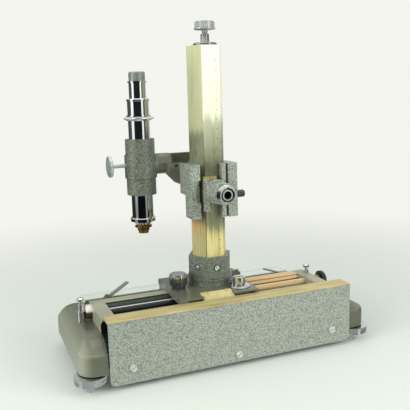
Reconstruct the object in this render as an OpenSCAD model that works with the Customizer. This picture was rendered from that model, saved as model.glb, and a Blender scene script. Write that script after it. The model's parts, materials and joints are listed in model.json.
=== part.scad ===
// Vernier microscope: a travelling microscope on a levelled bed.
// Millimetres, +Z up, +X along the bed to the handwheel, +Y towards the stage.
// The origin is on the table, midway between the levelling feet.

/* [Base] */
// Length of the base casting
base_l = 326.3; // [310:0.1:340]
// Depth of the base casting
base_d = 148; // [140:0.5:154]
// Shift of the casting's middle to the right of the feet's middle
base_right = 1.25; // [0:0.05:3]
// Shift of the casting's middle to the back of the feet's middle
base_back = 1.75; // [0:0.05:3]
// Height of the casting's underside above the table
base_lift = 17.5; // [15:0.5:22]
// Height of the rounded rim above the underside
rim_h = 21.1; // [19:0.1:26]
// Rise of the crowned top from the rim to the bed
slope_h = 12.4; // [8:0.1:15]
// Corner radius of the casting in plan
base_corner = 17; // [14:1:26]
// Height below the rim where its rolled edge begins
edge_r = 5.5; // [3:0.5:8]
// Wall of the hollow casting
base_wall = 8; // [6:0.5:10]
// Thickness of the closing plate underneath
floor_t = 2; // [1.5:0.5:3]

/* [Levelling feet] */
// Diameter of the knurled levelling disc
disc_d = 31.8; // [28:0.2:34]
// Height of the disc above the table
disc_z = 10; // [8:0.2:10]
// Thickness of the disc
disc_t = 7; // [5:0.2:7.2]
// Clearance between a levelling disc and the front cover
disc_gap = 0.3; // [0.3:0.05:0.5]
// Diameter of the levelling screw
foot_screw_d = 7; // [6:0.5:8]
// Diameter of the pad that rests on the table
foot_pad_d = 7; // [6:0.5:9]
// Distance of a foot's centre from the casting's side
foot_in = 12; // [9:0.5:13]
// Distance of a foot's centre from the casting's end
foot_end_in = 11.75; // [9:0.25:13]

/* [Bed] */
// Length of the bed over its end blocks
bed_l = 261; // [250:0.5:268]
// Shift of the bed's middle to the left
bed_shift = 4.9; // [4:0.1:6]
// Depth of the bed
bed_d = 62; // [60:0.5:66]
// Height of the bed above the casting's top
bed_h = 17; // [15:0.5:19]
// Width of the left end block
end_left_w = 14.5; // [12:0.5:18]
// Width of the right end block
end_right_w = 14; // [12:0.5:16]
// Width of the front rail
front_rail_w = 10; // [9:0.5:12]
// Width of the rear rail
rear_rail_w = 12.5; // [12:0.5:14]
// Depth of the undercut below the front edge
undercut = 6.5; // [3:0.5:8]
// Depth of the undercut at the end blocks
end_undercut = 9; // [6:0.5:12]

/* [Guide rod and posts] */
// Diameter of the rear guide rod
rod_d = 13.6; // [12:0.2:14]
// Depth of the rod's centre below the bed top
rod_drop = 8.1; // [7.9:0.1:8.3]
// Length of rod that stands out at the left end
rod_out = 6.2; // [5:0.1:12]
// Diameter of the collar on that end of the rod
rod_end_d = 15.2; // [14:0.2:15.6]
// Diameter of the post's foot
post_d = 8.6; // [7:0.2:10]
// Diameter of the thumb screw's head
thumb_d = 7.4; // [6:0.2:9]
// Clearance all round the rod in its groove
rod_gap = 0.2; // [0.1:0.05:0.4]

/* [Front cover and scale] */
// Length of the front cover
cover_l = 272.5; // [262:0.5:280]
// Thickness of the cover sheet
cover_t = 1.6; // [1.2:0.1:2]
// Height of the cover's lower edge above the table
cover_z = 5.5; // [4:0.5:8]
// Radius of the cover's lower corners
cover_corner = 5; // [2:0.5:8]
// Diameter of a cover screw's head
cover_screw_d = 7.4; // [6:0.2:9]
// Thickness of the brass scale
scale_t = 1.1; // [0.8:0.1:1.5]
// Width of the brass scale
scale_w = 20; // [16:0.5:20]

/* [Lead screw] */
// Diameter of the lead screw
lead_d = 9; // [8:0.5:9.5]
// Depth of the lead screw's axis below the bed top
lead_drop = 6; // [5.8:0.1:7]
// Distance of the lead screw behind the bed's front
lead_in = 34; // [32:0.5:36]
// Diameter of the handwheel
wheel_d = 20.5; // [18:0.5:24]
// Thickness of the handwheel's rim
wheel_t = 4.5; // [3:0.5:6]
// Radial running clearance of a screw in its bearing or nut
run_gap = 0.08; // [0.05:0.01:0.1]

/* [Carriage] */
// Length of the carriage plate along the bed
carriage_l = 89.5; // [84:0.5:94]
// Depth of the carriage plate
carriage_d = 84.4; // [80:0.1:88]
// Thickness of the carriage plate
carriage_t = 6; // [5:0.5:8]
// Gap between the carriage and the rails
slide_gap = 0.1; // [0.05:0.05:0.3]
// Shift of the plate's middle to the left of the column
carriage_shift = 8.45; // [7:0.05:10]
// Taper of the plate's left side towards the back
plate_taper = 3.4; // [0:0.2:5]
// Thickness of the plate's front lip
lip_t = 1.8; // [1.2:0.1:3]
// Width of the horizontal vernier
vernier_w = 35; // [30:1:40]
// Thickness of the vernier plates
vernier_t = 1.4; // [1:0.1:2]
// Diameter of the left clamp knob
left_knob_d = 19.4; // [16:0.2:22]
// Height of the left clamp knob
left_knob_h = 16.5; // [12:0.5:18]
// Diameter of the right clamp knob
right_knob_d = 13.8; // [12:0.2:18]
// Height of the right clamp knob above its collar
right_knob_h = 8.5; // [7:0.5:12]
// Diameter of the collar under the right knob
knob_collar_d = 24.5; // [20:0.5:26]

/* [Column] */
// Width of the hexagonal column across its flats
column_af = 34.6; // [33:0.1:36]
// Length of the column
column_l = 256.8; // [240:0.1:270]
// Distance of the column's centre to the right of the bed's middle
column_off = 4.6; // [3:0.1:6]
// Distance of the column's centre behind the bed's front
column_in = 51; // [50:0.25:52]
// Bore of the column
column_bore = 13; // [12:0.5:14]
// Distance of the vertical screw in front of the column's centre
screw_in = 3.6; // [0:0.1:4]
// Width of the slot down the column's back
slot_w = 6; // [5:0.5:7]
// Clearance between the column and what surrounds it
column_gap = 0.15; // [0.1:0.05:0.3]
// Height of the round foot of the socket
socket_foot_h = 8.5; // [7:0.5:10]
// Height of the hexagonal part of the socket
socket_h = 24; // [20:0.5:28]
// Wall of the socket
socket_wall = 4.2; // [3.5:0.1:5]
// Diameter of the column's top flange
cap_d = 25.6; // [23:0.2:27]
// Diameter of the top knob
top_knob_d = 22; // [19:0.2:25]
// Diameter of the vertical screw
v_screw_d = 8; // [6:0.5:9]

/* [Vertical carriage] */
// Height of the vertical carriage
slider_h = 58; // [54:1:64]
// Height of its lower face above the bottom of the column
slider_z = 76.5; // [70:0.5:82]
// Reach of the slider to the left of the column's centre
slider_left = 29; // [27:0.5:32]
// Reach of the slider to the right of the column's centre
slider_right = 25; // [24:0.5:28]
// Wall in front of the column
slider_front = 6.7; // [6:0.1:8]
// Wall behind the column
slider_back = 8; // [7:0.5:10]
// Depth of the slider's cheeks
cheek_d = 22; // [20:0.5:26]
// Depth of the left cheek's upper part
cheek_upper_d = 31.5; // [28:0.5:34]
// Wall of the yoke round the column
yoke_wall = 4; // [3:0.5:5]
// Diameter of the reader's flange
reader_d = 26; // [24:0.5:28]
// Length of the reader in front of its strap
reader_l = 30; // [28:0.5:38]
// Diameter of the swivel boss
boss_d = 22.5; // [20:0.5:25]
// Diameter of the swivel pin
pin_d = 12; // [10:0.5:14]

/* [Microscope] */
// Distance of the tube's axis to the left of the column's centre
tube_off = 67; // [64:0.5:72]
// Distance of the tube's axis behind the column's centre
tube_back = 26; // [22:0.5:27]
// Outer diameter of the body tube
tube_d = 23; // [22:0.1:24]
// Wall of the body tube
tube_wall = 1.6; // [1:0.1:2]
// Length of the body tube
tube_l = 105; // [100:1:112]
// Height of the holder
holder_h = 60; // [56:0.5:64]
// Diameter of the holder's middle
holder_d = 34.6; // [32:0.2:36]
// Sliding clearance of the tube in the holder
tube_gap = 0.1; // [0.05:0.05:0.2]
// Diameter of the flange at the top of the body tube
flange_d = 33; // [30:0.5:36]
// Outer diameter of the draw tube
draw_d = 18.2; // [17:0.1:19]
// Length of the draw tube
draw_l = 34; // [30:0.5:38]
// Diameter of the objective
objective_d = 14; // [12:0.2:16]
// Length of the objective below the nosepiece
objective_l = 8.6; // [7:0.2:11]

/* [Stage] */
// Length of the stage glass
glass_l = 260.5; // [250:0.5:264]
// Depth of the stage glass
glass_d = 64.5; // [56:0.5:66]
// Thickness of the stage glass
glass_t = 4; // [3:0.5:5]
// Length of a spring clip
clip_l = 35; // [32:1:42]
// Width of a spring clip
clip_w = 5.5; // [4:0.5:7]

/* [Hidden] */
$fn = 64;
eps = 0.01;
fine = 32;

// Levels of the base and the bed
rim_z = base_lift + rim_h;
deck_z = rim_z + slope_h;
bed_top = deck_z + bed_h;
base_x0 = base_right - base_l / 2;
base_x1 = base_right + base_l / 2;
front_y = base_back - base_d / 2;
back_y = base_back + base_d / 2;
bed_x0 = -bed_l / 2 - bed_shift;
bed_x1 = bed_l / 2 - bed_shift;
bed_y0 = front_y + 16.5;
bed_y1 = bed_y0 + bed_d;
trough_x0 = bed_x0 + end_left_w;
trough_x1 = bed_x1 - end_right_w;
deck_back = back_y - 22;
deck_front = bed_y0 + 5.75;
deck_left = 14;
deck_right = 38;

// Crown of the casting's top: share of the way in from the side, and height
crown = [[0, rim_z - edge_r], [0.02, rim_z - edge_r * 0.6], [0.05, rim_z - edge_r * 0.3], [0.09, rim_z],
    [0.16, rim_z + slope_h * 0.14], [0.24, rim_z + slope_h * 0.27], [0.32, rim_z + slope_h * 0.39],
    [0.42, rim_z + slope_h * 0.54], [0.52, rim_z + slope_h * 0.68], [0.64, rim_z + slope_h * 0.81],
    [0.77, rim_z + slope_h * 0.91], [0.89, rim_z + slope_h * 0.975], [1, deck_z]];

// Hollow under the casting, closed by its plate
hollow_x = base_l / 2 - 24;
hollow_y0 = front_y + base_wall;
hollow_y1 = deck_back;
hollow_top = rim_z - 3;
hollow_r = 8;
post_in = 8;
floor_gap = 0.3;

// Levelling feet
foot_x = base_l / 2 - foot_end_in;
foot_y = base_d / 2 - foot_in;
foot_top = rim_z - 4;

// Guide rod, posts and lead screw
rod_y = bed_y1 - 10.25;
rod_z = bed_top - rod_drop;
post_x = bed_x0 - rod_out - post_d / 2 - 0.3;
post_foot_z = deck_z - 1.5;
right_post_x = bed_x1 - 3.2;
right_post_y = rod_y - 4;
right_post_h = 3.5;
lead_y = bed_y0 + lead_in;
lead_z = bed_top - lead_drop;
bearing_l = 4.5;
wheel_x = bed_x1 + bearing_l + 1.2;

// Cover and scale
cover_x0 = bed_x0 + 1.5;
cover_x1 = cover_x0 + cover_l;
cover_y = front_y - cover_t;
cover_top = bed_top + cover_t;
scale_y0 = cover_y - 0.9;
scale_y1 = scale_y0 + scale_w;
lug_z = cover_z + 2;
lug_x = (cover_x0 + cover_x1) / 2;
screw_z = cover_z + 15.9;
cover_screws_at = [[cover_x0 + 23, screw_z], [lug_x, lug_z + 6.5], [cover_x1 - 23.5, screw_z]];

// Column and carriage
column_x = column_off - bed_shift;
column_y = bed_y0 + column_in;
screw_y = column_y - screw_in;
column_r = column_af / sqrt(3);
plate_z = bed_top + slide_gap;
plate_top = plate_z + carriage_t;
plate_x = column_x - carriage_shift;
plate_y0 = scale_y1 + 0.7;
plate_y1 = plate_y0 + carriage_d;
plate_x0 = plate_x - carriage_l / 2;
plate_x1 = plate_x + carriage_l / 2;
column_z = plate_top;
column_top = column_z + column_l;
vernier_x = plate_x - 1.15;
vernier_y0 = plate_y0 - 0.35;
vernier_slope = 0.36;
vernier_screw_d = 2.8;
vernier_y1 = plate_y0 + 11.6;
left_knob_x = plate_x0 + 12.1;
left_knob_y = lead_y + 7.5;
right_knob_x = plate_x1 - 14.9;
right_knob_y = plate_y0 + 18;
knob_gap = 0.3;
rear_block_z = plate_top - 12.5;
lug_y = plate_y1 - 25.1;
cap_t = 3;
cap_boss_d = 9.2;
ring_d = 21;
ring_l = 7.3;
cap_boss_h = 9.2;
neck_h = 4;
top_knob_h = 7.9;

// Vertical carriage
screw_sink = 1.2;
slider_bottom = column_z + slider_z;
slider_top = slider_bottom + slider_h;
slider_x0 = column_x - slider_left;
slider_x1 = column_x + slider_right;
slider_y0 = column_y - column_af / 2 - slider_front;
slider_y1 = column_y + column_af / 2 + slider_back;
window_x0 = column_x - 17.5;
window_x1 = column_x + 7;
reader_x = column_x - 1.9;
reader_z = slider_bottom + 29.5;
strap_y = slider_y0 - 1;
strap_t = 4;
reader_y = strap_y;
pocket_w = 4.8;
pocket_z = slider_bottom + 29.4;
clamp_z = slider_bottom + 21.7;
clamp_y = column_y - 9;
clamp_tip = column_r - (9 - 2.5) / sqrt(3) + 0.5;
gusset_y = slider_y0 + cheek_upper_d;

// Microscope
tube_x = column_x - tube_off;
tube_y = column_y + tube_back;
pivot_z = slider_top - 1;
holder_low = pivot_z - 32;
holder_step = holder_low + 18.2;
holder_shoulder = holder_low + 43;
holder_top = holder_low + holder_h;
tube_low = pivot_z - 57.5;
tube_top = tube_low + tube_l;
flange_h = 5.8;
adapter_h = 17.4;
adapter_top = tube_top + flange_h + adapter_h;
draw_top = adapter_top + 16.6;
cap_h = 9.8;
nose_h = 9.2;
boss_x1 = tube_x + holder_d / 2 + 14.6;
boss_x0 = tube_x + holder_d / 2 + knob_gap;

// Stage
glass_y0 = bed_y1 + 0.3;
glass_top = deck_z + glass_t;
glass_x0 = 2.75 - bed_shift - glass_l / 2;
glass_x1 = glass_x0 + glass_l;
clip_left_at = [glass_x0 + 25.5, deck_back - 5.75];
clip_right_at = [glass_x1 - clip_w + 1, glass_y0 + 23];
clip_z = glass_top + 0.3;
clip_t = 1;
clip_bend = 5.5;
clip_rise = 8;

// Plan outline with round corners
module plan(l, d, r) {
    square([l - 2 * r, d], center = true);
    square([l, d - 2 * r], center = true);
    for (i = [-1, 1], j = [-1, 1])
        translate([i * (l / 2 - r), j * (d / 2 - r)]) circle(r);
}

// Rod along X
module x_rod(d, x0, x1, y, z) {
    translate([x0, y, z]) rotate([0, 90, 0]) cylinder(d = d, h = x1 - x0);
}

// Rod along Y
module y_rod(d, y0, y1, x, z) {
    translate([x, y1, z]) rotate([90, 0, 0]) cylinder(d = d, h = y1 - y0);
}

// Box between two corners
module block(a, b) {
    translate(a) cube(b - a);
}

// Hexagonal prism with a corner on each side and a flat in front
module hexagon(af, z0, z1) {
    translate([column_x, column_y, z0]) cylinder(r = af / sqrt(3), h = z1 - z0, $fn = 6);
}

// Cheese-head screw with a slot, its head's underside at the origin and its shank down -Z
module slotted_screw(head_d, head_h, shank_d, shank_l, turn = 0) {
    difference() {
        union() {
            cylinder(d = head_d, h = head_h);
            translate([0, 0, -shank_l]) cylinder(d = shank_d, h = shank_l + eps);
        }
        rotate(turn) translate([-head_d, -head_d * 0.08, head_h * 0.5]) cube([2 * head_d, head_d * 0.16, head_h]);
    }
}

// Round part with grip flutes, standing on the origin
module fluted(d, h, n, flute_d, bevel = 0.8) {
    difference() {
        union() {
            cylinder(d = d - 2 * bevel, h = h);
            translate([0, 0, bevel]) cylinder(d = d, h = h - 2 * bevel);
        }
        for (i = [0:n - 1])
            rotate(i * 360 / n) translate([d / 2 + flute_d * 0.25, 0, -1]) cylinder(d = flute_d, h = h + 2, $fn = 16);
    }
}

// Section of the casting between two sides, with a crowned top over each side
module crowned(side_a, side_b, inset_a, inset_b) {
    polygon(concat([[side_a, base_lift]], [for (c = crown) [side_a + c[0] * inset_a, c[1]]],
        [for (i = [len(crown) - 1:-1:0]) [side_b - crown[i][0] * inset_b, crown[i][1]]], [[side_b, base_lift]]));
}

// Cast base: vertical rim, rolled edge and a crowned top that rises to the bed
module base_body() {
    intersection() {
        translate([base_right, base_back, base_lift]) linear_extrude(deck_z - base_lift) plan(base_l, base_d, base_corner);
        translate([0, back_y + 1, 0]) rotate([90, 0, 0]) linear_extrude(base_d + 2)
            crowned(base_x0, base_x1, deck_left, deck_right);
        translate([base_x0 - 1, 0, 0]) rotate([90, 0, 90]) linear_extrude(base_l + 2)
            crowned(front_y, back_y, deck_front - front_y, back_y - deck_back);
    }
}

module base_casting() {
    color([0.46, 0.46, 0.40])
    difference() {
        union() {
            difference() {
                base_body();
                translate([0, (hollow_y0 + hollow_y1) / 2, base_lift - 1]) linear_extrude(hollow_top - base_lift + 1)
                    plan(2 * hollow_x, hollow_y1 - hollow_y0, hollow_r);
            }
            for (i = [-1, 1], y = [hollow_y0 + post_in, hollow_y1 - post_in])
                translate([i * (hollow_x - post_in), y, base_lift + floor_t]) cylinder(d = 12, h = hollow_top - base_lift);
            block([lug_x - 7, front_y, lug_z], [lug_x + 7, front_y + 7, base_lift + 6]);
        }
        translate([post_x, rod_y, post_foot_z]) cylinder(d = post_d + 0.2, h = 20);
        x_rod(wheel_d + 5, wheel_x - 1, wheel_x + wheel_t + 4, lead_y, lead_z);
        for (p = [[-foot_x, -foot_y], [foot_x, -foot_y], [0, foot_y]])
            translate([p[0], p[1], base_lift - 1]) cylinder(d = foot_screw_d + 2 * run_gap, h = foot_top - base_lift + 1);
        for (i = [-1, 1], y = [hollow_y0 + post_in, hollow_y1 - post_in])
            translate([i * (hollow_x - post_in), y, base_lift]) cylinder(d = 3.1, h = 14);
        for (p = cover_screws_at)
            y_rod(4.1, front_y - 1, front_y + 5.5, p[0], p[1]);
        for (p = [clip_left_at, clip_right_at])
            translate([p[0], p[1], deck_z - 12]) cylinder(d = 3.1, h = 14);
    }
}

module base_plate() {
    color([0.30, 0.30, 0.29])
    difference() {
        translate([0, (hollow_y0 + hollow_y1) / 2, base_lift]) linear_extrude(floor_t)
            plan(2 * (hollow_x - floor_gap), hollow_y1 - hollow_y0 - 2 * floor_gap, hollow_r - floor_gap);
        for (i = [-1, 1], y = [hollow_y0 + post_in, hollow_y1 - post_in])
            translate([i * (hollow_x - post_in), y, base_lift - 1]) cylinder(d = 3.4, h = floor_t + 2);
    }
}

module base_plate_screws() {
    color([0.72, 0.72, 0.72])
    for (i = [-1, 1], y = [hollow_y0 + post_in, hollow_y1 - post_in])
        translate([i * (hollow_x - post_in), y, base_lift]) mirror([0, 0, 1]) slotted_screw(6, 1.8, 3, floor_t + 8);
}

// Levelling foot: pad, screw and two-tier knurled disc
module foot(x, y) {
    color([0.78, 0.78, 0.78])
    translate([x, y, 0]) {
        cylinder(d = foot_pad_d, h = 3);
        cylinder(d = foot_screw_d - 2, h = disc_z + 1);
        translate([0, 0, disc_z]) cylinder(d = foot_screw_d, h = foot_top - disc_z - 2.5);
        translate([0, 0, disc_z]) cylinder(d = disc_d - 1, h = disc_t * 0.35);
        translate([0, 0, disc_z + disc_t * 0.3]) cylinder(d = disc_d - 3.4, h = disc_t * 0.3);
        translate([0, 0, disc_z + disc_t * 0.5]) fluted(disc_d, disc_t * 0.5, 44, 1.2, 0.4);
    }
}

module foot_left() { foot(-foot_x, -foot_y); }

module foot_right() { foot(foot_x, -foot_y); }

module foot_rear() { foot(0, foot_y); }

// Cross-section of an end block, with the undercut of the front edge
module bed_section(x0, x1) {
    translate([x0, 0, 0]) rotate([90, 0, 90]) linear_extrude(x1 - x0) polygon([
        [bed_y0 + end_undercut, deck_z], [bed_y1, deck_z], [bed_y1, bed_top], [bed_y0, bed_top],
        [bed_y0, bed_top - 2], [bed_y0 + end_undercut, bed_top - 2 - end_undercut * 0.7]]);
}

module bed_left_end() {
    color([0.50, 0.51, 0.46])
    difference() {
        bed_section(bed_x0, trough_x0);
        x_rod(rod_d + 2 * rod_gap, bed_x0 - 1, trough_x0 + 1, rod_y, rod_z);
        x_rod(lead_d + 2 * run_gap, bed_x0 + 3, trough_x0 + 1, lead_y, lead_z);
    }
}

module bed_right_end() {
    color([0.50, 0.51, 0.46])
    difference() {
        bed_section(trough_x1, bed_x1);
        x_rod(rod_d + 2 * rod_gap, trough_x1 - 1, bed_x1 - 2, rod_y, rod_z);
        x_rod(lead_d + 2 * run_gap, trough_x1 - 1, bed_x1 + 1, lead_y, lead_z);
        translate([right_post_x, right_post_y, rod_z]) cylinder(d = 3.1, h = bed_h);
    }
}

module bed_front_rail() {
    color([0.50, 0.51, 0.46])
    translate([trough_x0, 0, 0]) rotate([90, 0, 90]) linear_extrude(trough_x1 - trough_x0) polygon([
        [bed_y0 + undercut, deck_z], [bed_y0 + front_rail_w, deck_z], [bed_y0 + front_rail_w, bed_top],
        [bed_y0, bed_top], [bed_y0, bed_top - 2], [bed_y0 + undercut, bed_top - 2 - undercut]]);
}

module bed_rear_rail() {
    color([0.50, 0.51, 0.46])
    difference() {
        block([trough_x0, bed_y1 - rear_rail_w, deck_z], [trough_x1, bed_y1, bed_top]);
        x_rod(rod_d + 2 * rod_gap, trough_x0 - 1, trough_x1 + 1, rod_y, rod_z);
        block([trough_x0 - 1, rod_y - rod_d, deck_z - 1], [trough_x1 + 1, rod_y, rod_z]);
    }
}

module guide_rod() {
    color([0.80, 0.80, 0.80])
    difference() {
        union() {
            x_rod(rod_d, bed_x0 - rod_out, bed_x1 - 2.2, rod_y, rod_z);
            x_rod(rod_end_d - 1.4, bed_x0 - rod_out - 0.2, bed_x0, rod_y, rod_z);
            x_rod(rod_end_d, bed_x0 - rod_out + 0.6, bed_x0, rod_y, rod_z);
        }
        translate([right_post_x, right_post_y, rod_z + 1]) cylinder(d = 3.6, h = rod_d);
    }
}

// Post at the rod's left end, bored for its thumb screw
module rod_post_left() {
    color([0.80, 0.80, 0.80])
    translate([post_x, rod_y, 0]) difference() {
        union() {
            translate([0, 0, post_foot_z]) cylinder(d = post_d, h = rod_z - post_foot_z + 2);
            translate([0, 0, rod_z]) cylinder(d = post_d - 2.4, h = 9.5);
        }
        translate([0, 0, rod_z - 2.6]) cylinder(d = 3.2, h = 20);
    }
}

module rod_post_right() {
    color([0.80, 0.80, 0.80])
    translate([right_post_x, right_post_y, bed_top]) difference() {
        cylinder(d = post_d - 2.4, h = right_post_h);
        translate([0, 0, -1]) cylinder(d = 3.2, h = 8);
    }
}

// Thumb screw: thin shank, neck and small round head, its seat at the given level
module thumb_screw(x, y, seat_z, shank_l) {
    color([0.80, 0.80, 0.80])
    translate([x, y, seat_z + knob_gap]) {
        translate([0, 0, -shank_l]) cylinder(d = 3, h = shank_l + 3);
        translate([0, 0, 2]) cylinder(d1 = 3, d2 = thumb_d, h = 1.6);
        translate([0, 0, 3.6]) cylinder(d = thumb_d, h = 2.2);
        translate([0, 0, 5.8]) cylinder(d1 = thumb_d, d2 = thumb_d - 3, h = 0.8);
    }
}

module thumb_screw_left() { thumb_screw(post_x, rod_y, rod_z + 9.5, 12); }

module thumb_screw_right() { thumb_screw(right_post_x, right_post_y, bed_top + right_post_h, 7); }

// Bent sheet in front of the bed, with a top flange that rests on the front rail
module front_cover() {
    color([0.60, 0.63, 0.59])
    difference() {
        union() {
            translate([0, front_y, 0]) rotate([90, 0, 0]) linear_extrude(cover_t) {
                for (x = [cover_x0 + cover_corner, cover_x1 - cover_corner])
                    translate([x, cover_z + cover_corner]) circle(cover_corner);
                translate([cover_x0 + cover_corner, cover_z]) square([cover_l - 2 * cover_corner, 20]);
                translate([cover_x0, cover_z + cover_corner]) square([cover_l, cover_top - cover_z - cover_corner]);
            }
            block([cover_x0, cover_y, bed_top], [cover_x1, scale_y1 - 0.4, cover_top]);
        }
        for (p = cover_screws_at)
            y_rod(4.4, cover_y - 1, front_y + 1, p[0], p[1]);
        for (x = [-foot_x, foot_x])
            translate([x, -foot_y, cover_z - 1]) cylinder(d = disc_d + 2 * disc_gap, h = disc_z + disc_t + disc_gap + 1 - cover_z);
    }
}

module cover_screws() {
    color([0.80, 0.80, 0.80])
    for (i = [0:2])
        translate([cover_screws_at[i][0], cover_y, cover_screws_at[i][1]]) rotate([90, 0, 0])
            slotted_screw(cover_screw_d, 2, 4, cover_t + 4.5, 35 - 10 * i);
}

module horizontal_scale() {
    color([0.78, 0.70, 0.45])
    block([cover_x0, scale_y0, cover_top], [cover_x1, scale_y1, cover_top + scale_t]);
}

// Collar that carries the lead screw at the handwheel end
module screw_bearing() {
    color([0.72, 0.60, 0.34])
    difference() {
        x_rod(12.4, bed_x1, bed_x1 + bearing_l, lead_y, lead_z);
        x_rod(lead_d - 3 + 2 * run_gap, bed_x1 - 1, bed_x1 + bearing_l + 1, lead_y, lead_z);
    }
}

module lead_screw() {
    color([0.76, 0.77, 0.78])
    union() {
        x_rod(lead_d, bed_x0 + 4, bed_x1 - 0.3, lead_y, lead_z);
        x_rod(lead_d - 3, bed_x1 - 1, wheel_x + 1.5, lead_y, lead_z);
    }
}

module handwheel() {
    color([0.07, 0.07, 0.07])
    translate([wheel_x, lead_y, lead_z]) rotate([0, 90, 0]) difference() {
        union() {
            cylinder(d = 11, h = wheel_t + 2.5);
            translate([0, 0, 0.6]) fluted(wheel_d, wheel_t, 30, 1.6, 0.6);
        }
        translate([0, 0, -1]) cylinder(d = lead_d - 3, h = 2.5);
    }
}

module stage_glass() {
    color([0.86, 0.90, 0.89, 0.5])
    difference() {
        block([glass_x0, glass_y0, deck_z], [glass_x1, glass_y0 + glass_d, glass_top]);
        for (p = [clip_left_at, clip_right_at])
            translate([p[0], p[1], deck_z - 1]) cylinder(d = 3.6, h = glass_t + 2);
    }
}

// Pivot screws that hold the spring clips down on the glass
module clip_screws() {
    color([0.78, 0.78, 0.78])
    for (p = [clip_left_at, clip_right_at])
        translate([p[0], p[1], clip_z + clip_t + 0.2]) slotted_screw(clip_w - 0.3, 1.8, 3, clip_t + glass_t + 8, 30);
}

// Leaf of a spring clip along +X: flat at its eye, then straight up to its tip
module clip(at, turn) {
    color([0.62, 0.62, 0.60])
    translate([at[0], at[1], clip_z]) rotate(turn) difference() {
        union() {
            cylinder(d = clip_w + 2, h = clip_t);
            translate([0, clip_w / 2, 0]) rotate([90, 0, 0]) linear_extrude(clip_w) polygon([
                [0, 0], [clip_bend, 0], [clip_l, clip_rise], [clip_l, clip_rise + clip_t], [clip_bend - 0.2, clip_t], [0, clip_t]]);
        }
        translate([0, 0, -1]) cylinder(d = 3.4, h = clip_t + 2);
    }
}

module clip_left() { clip(clip_left_at, 33); }

module clip_right() { clip(clip_right_at, 157); }

// Carriage plate with a sloping seat for the vernier
module carriage_plate() {
    color([0.48, 0.48, 0.43])
    difference() {
        translate([0, 0, plate_z]) linear_extrude(carriage_t) polygon([
            [plate_x0, plate_y0], [plate_x1, plate_y0], [plate_x1, plate_y1], [plate_x0 + plate_taper, plate_y1]]);
        vernier_wedge(vernier_w + 0.6, 0, 20);
        block([plate_x0 + 9, plate_y0 - 1, plate_z - 1], [plate_x1 - 4, plate_y0 + 6, plate_top - lip_t]);
        translate([left_knob_x, left_knob_y, plate_z - 1]) cylinder(d = 5 + 2 * run_gap, h = carriage_t + 2);
        translate([right_knob_x, right_knob_y, plate_z - 1]) cylinder(d = 5 + 2 * run_gap, h = carriage_t + 2);
        for (x = [vernier_x - vernier_w / 3, vernier_x + vernier_w / 3])
            translate([x, vernier_y1 - 1.8, plate_z - 1]) cylinder(d = 2.1, h = carriage_t + 2);
    }
}

// Wedge above the vernier's slope, from a base line up to a height
module vernier_wedge(w, low, high) {
    translate([vernier_x - w / 2, 0, 0]) rotate([90, 0, 90]) linear_extrude(w) polygon([
        [vernier_y0, vernier_line(vernier_y0) + low], [vernier_y1, vernier_line(vernier_y1) + low],
        [vernier_y1, vernier_line(vernier_y1) + high], [vernier_y0, vernier_line(vernier_y0) + high]]);
}

// Height of the vernier's seat at a depth: level with the scale in front, at the plate's top behind
function vernier_line(y) = cover_top + scale_t - vernier_t + 0.2 + (y - vernier_y0) * vernier_slope;

// Solid brass wedge: its face slopes up from the scale to above the plate
module horizontal_vernier() {
    color([0.80, 0.73, 0.50])
    difference() {
        intersection() {
            vernier_wedge(vernier_w, eps, vernier_t);
            block([plate_x0, vernier_y0, cover_top], [plate_x1, vernier_y1, plate_top + 20]);
        }
        for (x = [vernier_x - vernier_w / 3, vernier_x + vernier_w / 3])
            translate([x, vernier_y1 - 1.8, plate_z - 1]) cylinder(d = 2.3, h = carriage_t + 9);
    }
}

module vernier_screws() {
    color([0.80, 0.80, 0.80])
    for (x = [vernier_x - vernier_w / 3, vernier_x + vernier_w / 3])
        translate([x, vernier_y1 - 1.8, vernier_line(vernier_y1 - 1.8) + vernier_t + vernier_slope * vernier_screw_d / 2 + 0.1])
            slotted_screw(vernier_screw_d, 0.7, 2, 4, 20);
}

// Guide behind the bed, hung from the plate
module carriage_rear_block() {
    color([0.48, 0.48, 0.43])
    block([plate_x0 + plate_taper, bed_y1 + 0.3, rear_block_z], [plate_x1, plate_y1 - 1.8, plate_z]);
}

// Nut on the lead screw, with a shoe that reaches over the guide rod
module carriage_nut() {
    color([0.70, 0.58, 0.33])
    difference() {
        union() {
            block([column_x - 26, lead_y - 9, lead_z - 7], [column_x + 16, lead_y + 9, plate_z]);
            block([column_x - 26, lead_y + 8, rod_z], [column_x + 16, rod_y - 3, plate_z]);
        }
        x_rod(lead_d + 2 * run_gap, column_x - 40, column_x + 40, lead_y, lead_z);
        x_rod(rod_d + 0.6, column_x - 40, column_x + 40, rod_y, rod_z);
        block([column_x - 40, bed_y1 - rear_rail_w - 0.3, deck_z], [column_x + 40, bed_y1, bed_top]);
    }
}

// Small lug behind the socket, with the end stop's screw
module stop_lug() {
    color([0.48, 0.48, 0.43])
    union() {
        block([plate_x1 - 11.3, lug_y, plate_top], [plate_x1 + 1, lug_y + 12, plate_top + 4.5]);
        block([plate_x1, lug_y, plate_z + 1], [plate_x1 + 6.1, lug_y + 12, plate_top + 2.5]);
        translate([plate_x1 + 3.4, lug_y + 4, plate_top + 2]) cylinder(d = 4, h = 2.5);
    }
}

// Knurled knob with a shank that reaches through the plate
module left_clamp_knob() {
    color([0.80, 0.80, 0.80])
    translate([left_knob_x, left_knob_y, plate_top + knob_gap]) {
        cylinder(d = left_knob_d - 5, h = 2);
        translate([0, 0, 1]) cylinder(d1 = left_knob_d - 4.4, d2 = left_knob_d - 2.4, h = 4);
        translate([0, 0, 4]) fluted(left_knob_d, left_knob_h - 4, 14, 2.6, 1);
        translate([0, 0, -carriage_t - 0.3]) cylinder(d = 5, h = carriage_t + 1);
    }
}

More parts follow.
